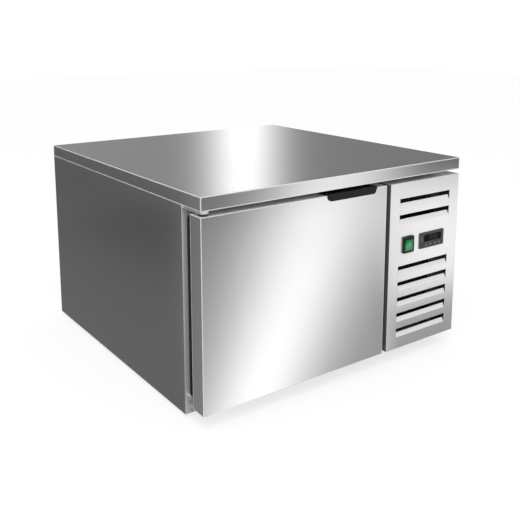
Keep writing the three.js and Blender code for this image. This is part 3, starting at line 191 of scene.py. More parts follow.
# %% Group: brushed streaks
BROAD_SCALE = 0.22
BROAD_SHARE = 0.35
streaks, entry, leave = group_of(
    "Brushed streaks",
    [("Stretch", "Vector", (1, 1, 1)), ("Fineness", "Float", 900.0)],
    [("Height", "Float"), ("Streak", "Float")],
)
place = put(streaks, "TexCoord").outputs["Object"]
drawn_out = put(streaks, "VectorMath", {"operation": "MULTIPLY"}, {0: place, 1: entry.outputs["Stretch"]})
fineness = entry.outputs["Fineness"]
broad_scale = times(streaks, fineness, BROAD_SCALE)
fine, broad = (
    put(streaks, "TexNoise", None, {"Vector": drawn_out.outputs[0], "Scale": scale, "Detail": detail}).outputs["Fac"]
    for scale, detail in ((fineness, 2.0), (broad_scale, 1.0)))
connect(streaks, leave.inputs["Height"], fine)
both = calc(streaks, "MULTIPLY_ADD", broad, BROAD_SHARE, times(streaks, fine, 1.0 - BROAD_SHARE))
connect(streaks, leave.inputs["Streak"], ramp(streaks, both, 0.3, 0.7))
print("group", streaks.name)

# %% Group: rounded edges
EDGE_SAMPLES = 6
EDGE_STARTS = 0.9998
EDGE_FULL = 0.985
edges, entry, leave = group_of(
    "Rounded edges",
    [("Radius", "Float", 0.001)],
    [("Normal", "Vector"), ("Edge", "Float")],
)
rounded = put(edges, "Bevel", {"samples": EDGE_SAMPLES}, {"Radius": entry.outputs["Radius"]})
sharp = put(edges, "NewGeometry").outputs["Normal"]
agreement = put(edges, "VectorMath", {"operation": "DOT_PRODUCT"}, {0: rounded.outputs[0], 1: sharp})
connect(edges, leave.inputs["Normal"], rounded.outputs[0])
connect(edges, leave.inputs["Edge"], ramp(edges, agreement.outputs["Value"], EDGE_STARTS, EDGE_FULL))
print("group", edges.name)

# %% Group: uneven gloss, and moulded grain
uneven, entry, leave = group_of(
    "Uneven gloss",
    [("Size", "Float", 6.0), ("Lowest", "Float", 0.3), ("Highest", "Float", 0.36)],
    [("Value", "Float"), ("Mask", "Float")],
)
place = put(uneven, "TexCoord").outputs["Object"]
cloud = put(uneven, "TexNoise", None, {"Vector": place, "Scale": entry.outputs["Size"], "Detail": 4.0})
mask = ramp(uneven, cloud.outputs["Fac"], 0.35, 0.68)
connect(uneven, leave.inputs["Mask"], mask)
lowest, highest = entry.outputs["Lowest"], entry.outputs["Highest"]
spread = put(uneven, "MapRange", None, {"Value": mask, "To Min": lowest, "To Max": highest})
connect(uneven, leave.inputs["Value"], spread.outputs[0])

moulded, entry, leave = group_of(
    "Moulded grain",
    [("Fineness", "Float", 1800.0)],
    [("Height", "Float")],
)
place = put(moulded, "TexCoord").outputs["Object"]
cells = put(moulded, "TexVoronoi", None, {"Vector": place, "Scale": entry.outputs["Fineness"]})
connect(moulded, leave.inputs["Height"], cells.outputs["Distance"])
print("groups", uneven.name, "and", moulded.name)

# %% [markdown]
# ## Materials
# Each finish is one function of plain arguments, so the door, the cover and the inner sheets can share a
# recipe and still differ in grain direction, colour and gloss. Values that are the same all over a surface
# are set straight on the Principled shader.

# %% Material start


def material_start(name, roughness, metallic=0.0):
    """A new material: (material, tree, its Principled shader)."""
    made = bpy.data.materials.new(name)
    made.use_nodes = True
    shader = made.node_tree.nodes["Principled BSDF"]
    shader.inputs["Roughness"].default_value = roughness
    shader.inputs["Metallic"].default_value = metallic
    return made, made.node_tree, shader


def grey(level, warmth=0.0):
    """A near-neutral colour: warmth above 0 leans to red and below 0 to blue."""
    return (level * (1 + warmth), level, level * (1 - warmth), 1.0)


print("material helpers: material_start, grey")

# %% [markdown]
# ### Steel sheet
# The body is folded from brushed stainless sheet. It is nearly a mirror, blurred by the brushing, and its
# edges carry a painted highlight. Apart from painted highlight and shade, colour does little here: the roughness
# decides how soft the studio looks in it, and a streak noise gives the grain. A share of plain scattering is set
# by the way a face is turned, so each fold of one sheet has its own tone: painted light that lightens or darkens it.

# %% Steel sheet
STREAK_FINENESS = 2600.0
STREAK_TONES = (0.994, 1.004)
STREAK_ROUGHNESS = 0.006
STREAK_DEPTH = 0.1 * MM
GRAIN_X = (0.008, 1.0, 1.0)
GRAIN_Z = (1.0, 1.0, 0.008)
EDGE_HIGHLIGHT_TONE = 0.98
PAINTED_GAP_SHADE = 0.05
TO_FRONT = (0, -1, 0)
TO_LEFT = (-1, 0, 0)
UP = (0, 0, 1)


def steel_sheet(name, level, stretch, roughness, grain=0.015, edge_light=0.0, radius=1.0 * MM, warmth=-0.004,
                front=0.0, top=0.0, flank=0.0, lips=0.0, top_level=None):
    """Brushed sheet steel, long-grained along the axis where stretch is small, with a painted highlight on its
    edges. front, top, flank and lips say how much the faces turned to the front, up and to the left, and those
    that lean back as a louvre's lip does, scatter like paint; this is painted light that lightens or darkens them.
    Faces turned to the left also take a painted shade with flank, for the narrow gap they stand in.
    top_level is a painted shade: a darker tone for the faces turned up, which lie close under the worktop."""
    made, tree, shader = material_start(name, roughness[0], 1.0)
    lines = use(tree, streaks, Stretch=stretch, Fineness=STREAK_FINENESS)
    rims = use(tree, edges, Radius=radius)
    gloss = use(tree, uneven, Size=5.0, Lowest=roughness[0], Highest=roughness[1])
    tone = mixed(tree, lines.outputs["Streak"], *(grey(level * share, warmth) for share in STREAK_TONES))
    if flank:
        # painted shade: faces turned to the left are darkened towards a near-black tone for the shade of the narrow
        # gap
        tone = mixed(tree, times(tree, facing(tree, TO_LEFT), flank), tone, grey(PAINTED_GAP_SHADE))
    if top_level is not None:
        # painted shade: faces turned up take the darker top_level tone, for the shade close under the worktop
        tone = mixed(tree, facing(tree, UP), tone, grey(top_level))
    # painted highlight: edges are mixed towards pale grey and made to scatter, as light caught along them
    edge_highlight = times(tree, rims.outputs["Edge"], edge_light)
    connect(tree, shader.inputs["Base Color"], mixed(tree, edge_highlight, tone, grey(EDGE_HIGHLIGHT_TONE)))
    # painted light: faces turned front, up, to the left or leaning back get a set share of scattering, which lightens
    # or darkens them
    scattering = calc(tree, "MAXIMUM", edge_highlight, times(tree, facing(tree, TO_FRONT), front))
    for axis, share in ((UP, top), (TO_LEFT, flank)):
        if share:
            scattering = calc(tree, "MAXIMUM", scattering, times(tree, facing(tree, axis), share))
    if lips:
        upward = put(tree, "SeparateXYZ", None, {0: put(tree, "NewGeometry").outputs["Normal"]}).outputs["Z"]
        leaning = times(tree, ramp(tree, upward, 0.12, 0.2), facing(tree, TO_FRONT))
        scattering = calc(tree, "MAXIMUM", scattering, times(tree, leaning, lips))
    connect(tree, shader.inputs["Metallic"], calc(tree, "SUBTRACT", 1.0, scattering))
    rough = calc(tree, "MULTIPLY_ADD", lines.outputs["Streak"], STREAK_ROUGHNESS, gloss.outputs["Value"])
    connect(tree, shader.inputs["Roughness"], rough)
    relief = put(tree, "Bump", None, {"Strength": grain, "Distance": STREAK_DEPTH, "Height": lines.outputs["Height"],
                                      "Normal": rims.outputs["Normal"]})
    connect(tree, shader.inputs["Normal"], relief.outputs["Normal"])
    return made


print("recipe: steel_sheet")

# %% The steels
worktop_steel = steel_sheet("worktop steel", 0.78, GRAIN_X, (0.14, 0.16), edge_light=1.0, radius=2.4 * MM)
side_steel = steel_sheet("side steel", 0.74, GRAIN_Z, (0.16, 0.18), grain=0.001, edge_light=0.15,
                         radius=1.5 * MM, front=0.55)
right_steel = steel_sheet("right side steel", 0.74, GRAIN_Z, (0.24, 0.26), grain=0.001, edge_light=0.15,
                          radius=1.5 * MM)
front_steel = steel_sheet("front steel", 0.80, GRAIN_Z, (0.15, 0.18), edge_light=1.0, radius=2.0 * MM, top=0.9)
# the cover's left flank and its top faces carry painted shade
cover_steel = steel_sheet("cover steel", 0.88, GRAIN_Z, (0.20, 0.24), edge_light=0.75, warmth=0.004,
                          front=0.4, top=0.9, flank=0.9, lips=0.85, top_level=0.62)
inner_steel = steel_sheet("inner steel", 0.70, GRAIN_Z, (0.34, 0.42), edge_light=0.15, radius=0.8 * MM)
zinc_sheet = steel_sheet("zinc plate", 0.86, (0.6, 0.6, 0.6), (0.34, 0.46), grain=0.05, edge_light=0.6,
                         radius=0.8 * MM, warmth=-0.05, front=0.6, top=0.6)

frame_steel, tree, shader = material_start("blasted frame steel", 0.6, 0.1)
patches = use(tree, uneven, Size=30.0, Lowest=0.58, Highest=0.66)
blasted = mixed(tree, patches.outputs["Mask"], grey(0.40, -0.02), grey(0.44, -0.02))
connect(tree, shader.inputs["Roughness"], patches.outputs["Value"])
connect(tree, shader.inputs["Base Color"], blasted)
print("steel sheets made")

# %% [markdown]
# ### Copper, aluminium and enamel
# Pipes are drawn copper that has gone dull in patches, and fins are rolled aluminium. The compressor is
# enamelled black; the coil in the machine room, its fins and its fan bracket are black too, as painted shade
# for the dark inside of the machine room. They differ in numbers and not in kind, so one recipe with a cloud of
# duller colour, fine pits and a painted highlight on the edges serves all three.

# %% Copper, aluminium and enamel


def cast_or_drawn(name, colour, dull, roughness, metallic, grain, bump_depth, edge_light=0.2):
    """Metal or enamel with soft patches of a duller colour, a fine relief and a painted highlight on its edges."""
    made, tree, shader = material_start(name, roughness[0], metallic)
    gloss = use(tree, uneven, Size=22.0, Lowest=roughness[0], Highest=roughness[1])
    rims = use(tree, edges, Radius=0.8 * MM)
    patches = mixed(tree, gloss.outputs["Mask"], colour, dull)
    # painted highlight: edges are mixed towards pale grey, as light caught along them
    bright = mixed(tree, times(tree, rims.outputs["Edge"], edge_light), patches, grey(0.9))
    connect(tree, shader.inputs["Base Color"], bright)
    connect(tree, shader.inputs["Roughness"], gloss.outputs["Value"])
    pits = use(tree, moulded, Fineness=grain)
    relief = put(tree, "Bump", None, {"Strength": 0.25, "Distance": bump_depth, "Height": pits.outputs["Height"],
                                      "Normal": rims.outputs["Normal"]})
    connect(tree, shader.inputs["Normal"], relief.outputs["Normal"])
    return made


copper = cast_or_drawn("drawn copper", (0.72, 0.40, 0.24, 1), (0.45, 0.25, 0.16, 1), (0.25, 0.45), 1.0, 300.0,
                       0.05 * MM)
fin_stock = cast_or_drawn("fin stock", grey(0.74), grey(0.66), (0.32, 0.45), 1.0, 400.0, 0.05 * MM)
black_enamel_and_shade = cast_or_drawn("black enamel and painted shade", grey(0.018), grey(0.026), (0.28, 0.4), 0.0, 500.0, 0.08 * MM, 0.05)
print("copper, fins and enamel made")

# %% [markdown]
# ### Plastic, rubber, foam and board
# The pull, the switch and the controller are moulded, so they carry the mould's fine grain, and their edges are
# slightly paler as a painted highlight. Rubber, foam and board have the same structure with coarser grain and
# less gloss. The display's lens is almost black and smooth, which is enough to read as glass from every side.

# %% Moulded plastic, rubber, foam and board


def moulding(name, colour, roughness, fineness, depth, coat=0.0, edge_light=0.06, specular=0.5):
    """A moulded plastic or rubber with a fine grain and slightly paler edges, which are a painted highlight."""
    made, tree, shader = material_start(name, roughness[0])
    shader.inputs["Specular IOR Level"].default_value = specular
    shader.inputs["Coat Weight"].default_value = coat
    gloss = use(tree, uneven, Size=60.0, Lowest=roughness[0], Highest=roughness[1])
    rims = use(tree, edges, Radius=0.6 * MM)
    # painted highlight: edges are mixed towards pale grey, as light caught along them
    painted_pale_edges = mixed(tree, times(tree, rims.outputs["Edge"], edge_light), colour, grey(0.6))
    dull = tuple(min(1.0, 1.5 * part + 0.01) for part in colour)
    soft = mixed(tree, times(tree, gloss.outputs["Mask"], 0.12), painted_pale_edges, dull)
    connect(tree, shader.inputs["Base Color"], soft)
    connect(tree, shader.inputs["Roughness"], gloss.outputs["Value"])
    grain = use(tree, moulded, Fineness=fineness)
    relief = put(tree, "Bump", None, {"Strength": 0.3, "Distance": depth, "Height": grain.outputs["Height"],
                                      "Normal": rims.outputs["Normal"]})
    connect(tree, shader.inputs["Normal"], relief.outputs["Normal"])
    return made


black_moulding = moulding("black moulding", (0.009, 0.009, 0.0075, 1), (0.32, 0.42), 1800.0, 0.04 * MM,
                          specular=0.2)
slate_moulding = moulding("slate moulding", (0.022, 0.033, 0.035, 1), (0.34, 0.44), 2200.0, 0.03 * MM,
                          edge_light=0.25)
switch_green = moulding("switch green", (0.008, 0.215, 0.062, 1), (0.16, 0.22), 600.0, 0.02 * MM,
                        coat=0.4, edge_light=0.2)
lens_black = moulding("display lens", (0.001, 0.001, 0.001, 1), (0.06, 0.1), 300.0, 0.005 * MM,
                      edge_light=0.01, specular=0.05)
seal_rubber = moulding("seal rubber", (0.013, 0.017, 0.023, 1), (0.5, 0.62), 900.0, 0.05 * MM, specular=0.3)
insulating_foam = moulding("insulating foam", (0.80, 0.70, 0.45, 1), (0.7, 0.85), 500.0, 0.5 * MM)
backing_board = moulding("white-faced board", (0.82, 0.81, 0.78, 1), (0.5, 0.65), 700.0, 0.1 * MM)
print("mouldings, rubber, foam and board made")

# %% [markdown]
# ## Giving each solid its finish
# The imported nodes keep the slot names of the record, so a short table says which finish each slot takes, and
# a second table names the nodes whose sheet is brushed another way. Smooth shading with a sharp-angle limit
# keeps flats flat and lets pipes and domes look round.

# %% Finishes by slot and by node
finish_of_slot = {
    "stainless": front_steel,
    "stainless_inner": inner_steel,
    "zinc_plate": zinc_sheet,
    "copper_pipe": copper,
    "aluminium_fins": fin_stock,
    "black_paint": black_enamel_and_shade,
    "black_plastic": black_moulding,
    "slate_plastic": slate_moulding,
    "green_plastic": switch_green,
    "display_window": lens_black,
    "rubber": seal_rubber,
    "foam": insulating_foam,
    "core_board": backing_board,
}
finish_of_node = {
    "worktop": worktop_steel,
    "left_side_panel": side_steel,
    "right_side_panel": right_steel,
    "rear_panel": side_steel,
    "louvred_cover": cover_steel,
    "front_frame": frame_steel,
    "hinge_bracket_bottom": frame_steel,
    "hinge_bush_top": slate_moulding,
    # painted shade: the condenser fan bracket is black, standing for the dark inside of the machine room
    "condenser_fan_bracket": black_enamel_and_shade,
}
SHARP_ANGLE = math.radians(32)
for name, solid in nodes.items():
    slot_name = solid.data.materials[0].name.split(".")[0] if solid.data.materials else "none"
    finish = finish_of_node.get(name) or finish_of_slot.get(slot_name)
    if finish is None:
        print("no finish for", name, slot_name)
        continue
    solid.data.materials.clear()
    solid.data.materials.append(finish)
    for polygon in solid.data.polygons:
        polygon.use_smooth = True
    with bpy.context.temp_override(object=solid, active_object=solid, selected_editable_objects=[solid]):
        bpy.ops.object.shade_smooth_by_angle(angle=SHARP_ANGLE)
print("finishes given to", len(nodes), "solids")

# %% [markdown]
# ## Pieces that only the picture needs
# Screws, marks and digits are too small to matter to the solid model, but they tell the eye how big the
# thing is. A normal map could fake them, but it would fail in close views, so each is real geometry made with
# bmesh, rides on the body that carries it, and takes a slot.

# %% Helper for new pieces


def piece_from(name, mesh_code, finish, body):
    """An object made by mesh_code(bm), riding on a body."""
    bm = bmesh.new()
    mesh_code(bm)
    bmesh.ops.recalc_face_normals(bm, faces=bm.faces)
    mesh = bpy.data.meshes.new(name)
    bm.to_mesh(mesh)
    bm.free()
    mesh.materials.append(finish)
    made = bpy.data.objects.new(name, mesh)
    bpy.context.scene.collection.objects.link(made)
    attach(made, body)
    return made


def ring(bm, centre, across, upward, radius, count=16, corners=0):
    """A ring of vertices round centre. With corners, the ring is a polygon of that many corners."""
    made = []
    for i in range(count):
        turn = 2 * math.pi * i / count
        reach = radius
        if corners:
            sector = 2 * math.pi / corners
            reach = radius * math.cos(sector / 2) / math.cos((turn % sector) - sector / 2)
        made.append(bm.verts.new(centre + across * (reach * math.cos(turn)) + upward * (reach * math.sin(turn))))
    return made


def skin(bm, rings):
    """Faces between rings, with a cap on the last."""
    for first, second in zip(rings, rings[1:]):
        count = len(first)
        for i in range(count):
            bm.faces.new((first[i], first[(i + 1) % count], second[(i + 1) % count], second[i]))
    bm.faces.new(rings[-1])


print("piece helpers: piece_from, ring, skin")

# %% [markdown]
# ### Screws
# Thin panels are held by low domed screws with a six-sided socket. A ring that is carried along a profile
# gives dome and socket as one skin, where a boolean cut would leave messy faces. Their places come from the
# packed boxes of the panels that they hold, so they stay at the edges when a panel changes size.

# %% Screw shape
SCREW_STEPS = 18
HEAD_PROFILE = (  # share of the radius, height in radii, and corners where the ring is a polygon
    (1.0, 0.0, 0), (1.0, 0.12, 0), (0.9, 0.34, 0), (0.68, 0.5, 0), (0.5, 0.55, 6), (0.46, 0.2, 6))


def screw_head(bm, place, outward, radius):
    """A low domed screw head with a six-sided socket, standing on place."""
    across = outward.orthogonal().normalized()
    upward = outward.cross(across)
    rings = [ring(bm, place + outward * (lift * radius), across, upward, share * radius, SCREW_STEPS, corners)
             for share, lift, corners in HEAD_PROFILE]
    skin(bm, rings)


def screws(name, places, outward, radius, finish):
    """One piece of several screw heads on the cabinet, all facing outward."""
    def heads(bm):
        for place in places:
            screw_head(bm, Vector(place), Vector(outward), radius)

    piece_from(name, heads, finish, "cabinet")


print("recipe: screws")

# %% Screws on the panels
INSET = 9 * MM
PANEL_SCREW = 3.4 * MM
FOOT_SCREW = 3.0 * MM
LID_SCREW = 2.6 * MM
FOOT_STEP = 3 * MM
FOOT_HOLES = (7 * MM, 17 * MM)

rear_low, rear_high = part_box("rear_panel")
rear_middle = (rear_low.z + rear_high.z) / 2
rear_places = [(x, rear_high.y, z) for x in (rear_low.x + INSET, 0.0, rear_high.x - INSET)
               for z in (rear_low.z + INSET, rear_middle, rear_high.z - INSET) if x or z != rear_middle]
screws("rear_panel_screws", rear_places, (0, 1, 0), PANEL_SCREW, zinc_sheet)

fan_low, fan_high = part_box("fan_panel")
fan_places = [(x, fan_low.y, z) for x in (fan_low.x + INSET, fan_high.x - INSET)
              for z in (fan_low.z + 3 * INSET, (fan_low.z + fan_high.z) / 2, fan_high.z - 3 * INSET)]
screws("fan_panel_screws", fan_places, (0, -1, 0), PANEL_SCREW, inner_steel)

foot_low, foot_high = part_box("hinge_bracket_bottom")
foot_places = [(foot_high.x - hole, foot_high.y - FOOT_STEP, foot_low.z + INSET) for hole in FOOT_HOLES]
screws("hinge_foot_screws", foot_places, (0, -1, 0), FOOT_SCREW, frame_steel)

lid_low, lid_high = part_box("electrical_box_lid")
lid_places = [(lid_high.x, y, z) for y in (lid_low.y + INSET, lid_high.y - INSET)
              for z in (lid_low.z + INSET, lid_high.z - INSET)]
screws("box_lid_screws", lid_places, (1, 0, 0), LID_SCREW, zinc_sheet)
print("screws made")

# %% [markdown]
# ### Fins
# The solid coils have a few coarse fins. A real coil has hundreds of foil-thin ones, pressed with a small fold
# for stiffness, so plates at a close pitch fill the space between the tube bends. Each is drawn as one folded
# face and a solidify modifier gives it thickness, which keeps the code short.

# %% Fins between the solid model's coarse ones
FIN_PITCH = 2.8 * MM
FIN_THICK = 0.25 * MM
FIN_FOLD = 0.5 * MM
EVAPORATOR_ENDS = 4.8 * MM
CONDENSER_ENDS = 19 * MM


def fin_pack(name, low, high, finish):
    """Thin upright plates that fill a coil, each with its front and back edge folded a little."""
    def plates(bm):
        for i in range(1, int((high[0] - low[0]) / FIN_PITCH)):
            x = low[0] + i * FIN_PITCH
            profile = ((x, low[1]), (x + FIN_FOLD, low[1] + FIN_FOLD), (x, low[1] + 2 * FIN_FOLD),
                       (x, high[1] - 2 * FIN_FOLD), (x + FIN_FOLD, high[1] - FIN_FOLD), (x, high[1]))
            lower = [bm.verts.new((px, py, low[2])) for px, py in profile]
            upper = [bm.verts.new((px, py, high[2])) for px, py in profile]
            for j in range(len(profile) - 1):
                bm.faces.new((lower[j], lower[j + 1], upper[j + 1], upper[j]))

    made = piece_from(name, plates, finish, "cabinet")
    made.modifiers.new("plate", "SOLIDIFY").thickness = FIN_THICK


coil_low, coil_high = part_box("evaporator_coil")
tray_low, tray_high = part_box("drip_tray")
fin_pack("evaporator_fins", (tray_low.x + EVAPORATOR_ENDS, coil_low.y + MM, coil_low.z + MM),
         (tray_high.x - EVAPORATOR_ENDS, coil_high.y - MM, coil_high.z - MM), fin_stock)
coil_low, coil_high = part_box("condenser_coil")
shroud_low, shroud_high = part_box("condenser_shroud")
# painted shade: the condenser fins are black, standing for the dark machine room behind the louvres
fin_pack("condenser_fins", (shroud_low.x + CONDENSER_ENDS, coil_low.y + MM, coil_low.z + MM),
         (shroud_high.x - CONDENSER_ENDS, coil_high.y - MM, shroud_high.z - MM), black_enamel_and_shade)
print("fins made")

# %% [markdown]
# ### Small marks
# The rocker's lighter face, which is a painted highlight, and its bar, a dot on each key and three dots on the
# controller are low cushions. Each ring of a cushion is laid on the solid by casting a ray at it, so a mark follows
# a face that slopes. An image would be simpler to place, but a printed mark of real thickness catches light at its
# rim as ink does.

# %% Marks that lie on a solid
CUSHION_PROFILE = (  # share of the size, and of the rise
    (1.0, 0.0), (0.98, 0.5), (0.92, 0.85), (0.8, 1.0), (0.4, 1.0))


def front_of(name):
    """A function that gives the depth of a node's front at x and z."""
    mesh = nodes[name].data
    tree = BVHTree.FromPolygons([v.co for v in mesh.vertices], [tuple(p.vertices) for p in mesh.polygons])

    def depth(x, z):
        return tree.ray_cast(Vector((x, -1.0, z)), Vector((0, 1, 0)))[0].y

    return depth


def oval(bm, depth, middle, half_x, half_z, lift, squareness, count=28):
    """A ring of vertices on a surface: round at squareness 2, nearly a rectangle at 8."""
    made = []
    for i in range(count):
        turn = 2 * math.pi * i / count
        across, rise = (math.copysign(abs(part) ** (2 / squareness), part)
                        for part in (math.cos(turn), math.sin(turn)))
        x, z = middle[0] + half_x * across, middle[1] + half_z * rise
        made.append(bm.verts.new((x, depth(x, z) - lift, z)))
    return made


def cushion(name, node, middle, half, rise, finish, body, squareness=2.0):
    """A low cushion-shaped mark on the front of a node."""
    depth = front_of(node)

    def rings(bm):
        skin(bm, [oval(bm, depth, middle, half[0] * share, half[1] * share, rise * lift, squareness)
                  for share, lift in CUSHION_PROFILE])

    piece_from(name, rings, finish, body)


print("recipe: cushion")

# %% Marks on rocker, keys and controller
DOT_RISE = 0.12 * MM
KEY_DOT = (1.1 * MM, 1.1 * MM)
INDICATOR_DOT = (0.8 * MM, 0.8 * MM)
INDICATOR_IN = 6.4 * MM
INDICATOR_TOP = 4.5 * MM
INDICATOR_PITCH = 4.4 * MM
# painted highlight: the rocker's face is a lighter green than the rocker, standing for light on it
highlight_green = moulding("green with painted highlight", (0.012, 0.27, 0.085, 1), (0.14, 0.2), 500.0, 0.02 * MM,
                     coat=0.3, edge_light=0.1)
pale_green = moulding("pale green print", (0.12, 0.62, 0.30, 1), (0.25, 0.35), 900.0, 0.01 * MM)
pale_print = moulding("pale print", (0.50, 0.56, 0.57, 1), (0.35, 0.45), 900.0, 0.01 * MM)


def middle_of(name):
    """The middle of a node's box, as seen from the front: (x, z)."""
    low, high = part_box(name)
    return (low.x + high.x) / 2, (low.z + high.z) / 2


rocker_x, rocker_z = middle_of("switch_rocker")
cushion("rocker_painted_highlight", "switch_rocker", (rocker_x, rocker_z), (7.6 * MM, 8.8 * MM), 0.3 * MM, highlight_green, "rocker",
        squareness=6.0)
cushion("rocker_mark", "switch_rocker", (rocker_x + 1.0 * MM, rocker_z + 1.5 * MM), (1.3 * MM, 5.0 * MM),
        0.45 * MM, pale_green, "rocker", squareness=3.0)
for number in range(1, 5):
    key = f"controller_key_{number}"
    cushion(f"key_{number}_mark", key, middle_of(key), KEY_DOT, DOT_RISE, pale_print, f"key_{number}")
case_low, case_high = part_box("controller_case")
for number in range(1, 4):
    spot = (case_low.x + INDICATOR_IN, case_high.z - INDICATOR_TOP - INDICATOR_PITCH * number)
    cushion(f"indicator_{number}", "controller_case", spot, INDICATOR_DOT, DOT_RISE, pale_print, "cabinet")
print("marks made")

# %% [markdown]
# ### The display
# Three dim figures of seven strokes stand just in front of the dark window, as they show in a display that is
# switched off. Strokes with pointed ends and a slight lean are what makes them read as a display, and a font
# would have neither.

# %% Digits in the display
window_low, window_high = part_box("controller_window")
DIGIT_HEIGHT = 9.0 * MM
DIGIT_WIDTH = 5.0 * MM
DIGIT_PITCH = 8.6 * MM
DIGITS_RIGHT = 3 * MM
DIGITS_LIFT = 0.12 * MM
STROKE = 1.0 * MM
LEAN = 0.12

digit_dim, tree, shader = material_start("digit segments", 0.3)
dim = use(tree, uneven, Size=300.0, Lowest=0.25, Highest=0.4)
connect(tree, shader.inputs["Base Color"],
        mixed(tree, dim.outputs["Mask"], (0.036, 0.014, 0.007, 1), (0.024, 0.010, 0.005, 1)))


def segment(bm, x0, z0, x1, z1):
    """One slanted stroke of a digit with pointed ends."""
    start, stop = Vector((x0, 0, z0)), Vector((x1, 0, z1))
    along = (stop - start).normalized()
    side = Vector((along.z, 0, -along.x)) * STROKE / 2
    tip = along * STROKE * 0.5
    outline = (start, start + tip + side, stop - tip + side, stop, stop - tip - side, start + tip - side)
    bm.faces.new([bm.verts.new((p.x + LEAN * p.z, 0, p.z)) for p in outline])


def digits(bm):
    """Three figures of seven segments."""
    middle = (window_low + window_high) / 2
    for place in (-1, 0, 1):
        left = place * DIGIT_PITCH - DIGIT_WIDTH / 2
        right, low, high = left + DIGIT_WIDTH, -DIGIT_HEIGHT / 2, DIGIT_HEIGHT / 2
        for ends in ((left, high, right, high), (left, 0, right, 0), (left, low, right, low),
                     (left, 0, left, high), (left, low, left, 0), (right, 0, right, high), (right, low, right, 0)):
            segment(bm, *ends)
    bmesh.ops.translate(bm, vec=(middle.x + DIGITS_RIGHT, window_low.y - DIGITS_LIFT, middle.z), verts=bm.verts)


piece_from("display_digits", digits, digit_dim, "cabinet")
print("digits made")

# %% [markdown]
# ## Studio
# A product studio is a white sweep with large soft cards around it. Steel is a mirror, so what it shows is
# the cards and not the lamp. One card lies on the floor and is seen by reflections only, and the world gives
# the steel soft strips of light near the horizon. The floor is white and keeps a soft shadow.

# %% Group: a soft strip of light on a plane
strip, entry, leave = group_of(
    "Soft strip",
    [("Start", "Vector", (0, 0, 0)), ("Along", "Vector", (1, 0, 0)), ("Across", "Vector", (0, 1, 0)),
     ("Half width", "Float", 0.2), ("Widening", "Float", 0.1)],
    [("Strength", "Float"), ("Run", "Float"), ("Away", "Float")],
)
place = put(strip, "NewGeometry").outputs["Position"]
offset = put(strip, "VectorMath", {"operation": "SUBTRACT"}, {0: place, 1: entry.outputs["Start"]}).outputs[0]
run, away = (
    put(strip, "VectorMath", {"operation": "DOT_PRODUCT"}, {0: offset, 1: entry.outputs[axis]}).outputs["Value"]
    for axis in ("Along", "Across"))
connect(strip, leave.inputs["Run"], run)
connect(strip, leave.inputs["Away"], away)
onward = calc(strip, "MAXIMUM", run, 0.0)
width = calc(strip, "MULTIPLY_ADD", onward, entry.outputs["Widening"], entry.outputs["Half width"])
share = calc(strip, "DIVIDE", away, width)
connect(strip, leave.inputs["Strength"], calc(strip, "EXPONENT", times(strip, share, share, -1.0)))
print("group", strip.name)

# %% The floor
FLOOR_HALF = 9.0
BACKGROUND_SHARE = 0.66
BACKGROUND_LEVEL = 1.1


def flat_square(name, half, height, finish):
    """A level square of the stage, centred under the object."""
    mesh = bpy.data.meshes.new(name)
    corners = [(-half, -half, height), (half, -half, height), (half, half, height), (-half, half, height)]
    mesh.from_pydata(corners, [], [(0, 1, 2, 3)])
    mesh.materials.append(finish)
    made = bpy.data.objects.new(name, mesh)
    bpy.context.scene.collection.objects.link(made)
    return made


floor_white, tree, shader = material_start("floor white", 0.9)
shader.inputs["Base Color"].default_value = grey(0.96)
shader.inputs["Specular IOR Level"].default_value = 0.0
seen = times(tree, put(tree, "LightPath").outputs["Is Camera Ray"], BACKGROUND_SHARE)
lit = put(tree, "Emission", None, {"Strength": BACKGROUND_LEVEL})
shared = put(tree, "MixShader", None, {0: seen, 1: shader.outputs[0], 2: lit.outputs[0]})
tree.links.new(shared.outputs[0], tree.nodes["Material Output"].inputs["Surface"])
flat_square("studio_floor", FLOOR_HALF, 0.0, floor_white)
print("floor made")

# %% [markdown]
# ### The card
# The card's tones are laid out on the ground like a map, in metres, because every face mirrors its own part of
# the floor. The door mirrors a band of light that runs to the front right and widens. The cover mirrors the
# floor to the right of that band, and the worktop's front edge mirrors what lies beyond both. The left panel
# and the worktop's left edge mirror the dark side, where the door's left side has a paler corner of its own.
# In the names below, a pair of tones or places belongs to the two ends of a ramp.

# %% The card's measures and tones
CARD_HALF = 6.0
CARD_LIFT = 1.0 * MM
FIELD = 0.62
FRONT_LEFT_TONE = 1.1
SHADOW_PAINTED_UNDER_OBJECT = 0.15
BAND_TURN = -0.781
BAND_START = (-0.192, -0.369, 0.0)
BAND_HALF_WIDTH = 0.092
BAND_WIDENING = 0.095
BAND_LEVEL, BAND_GAIN = 0.92, 0.09
BESIDE_BAND, BESIDE_FALL, BESIDE_TILT = 0.372, -0.097, 0.084
LONGEST_RUN = 2.6
FARTHEST_AWAY = 0.3
SIGHT_POINT = (-0.925, 0.663)  # bearings from here are upright lines in what the front faces mirror
COVER_BEARINGS = (math.radians(46.0), math.radians(47.4))
COVER_PLACES, COVER_TONES = (-0.69, -0.455), (1.05, 0.04)
COVER_ENDS = (-1.54, -1.44)
BEYOND_BEARINGS, BEYOND_LOSSES = (math.radians(46.0), math.radians(51.5)), (0.14, 0.85)
PANEL_PLACES, PANEL_TONES = (-1.2, -0.36), (0.102, 0.155)
FAR_LEFT_PLACES, FAR_LEFT_TONE = (-1.02, -1.10), 0.135
NEAR_PLACES_X, NEAR_PLACES_Y, NEAR_LOSS = (-0.5, -0.85), (1.45, 0.9), 0.03
DOOR_CORNER, DOOR_SLOPE = (-0.325, -0.32), 1.72
BESIDE_DOOR_PLACES, BESIDE_DOOR_TONE = (0.015, 0.05), 0.24
print("card of", 2 * CARD_HALF, "m, band turned", round(math.degrees(BAND_TURN), 1), "degrees")

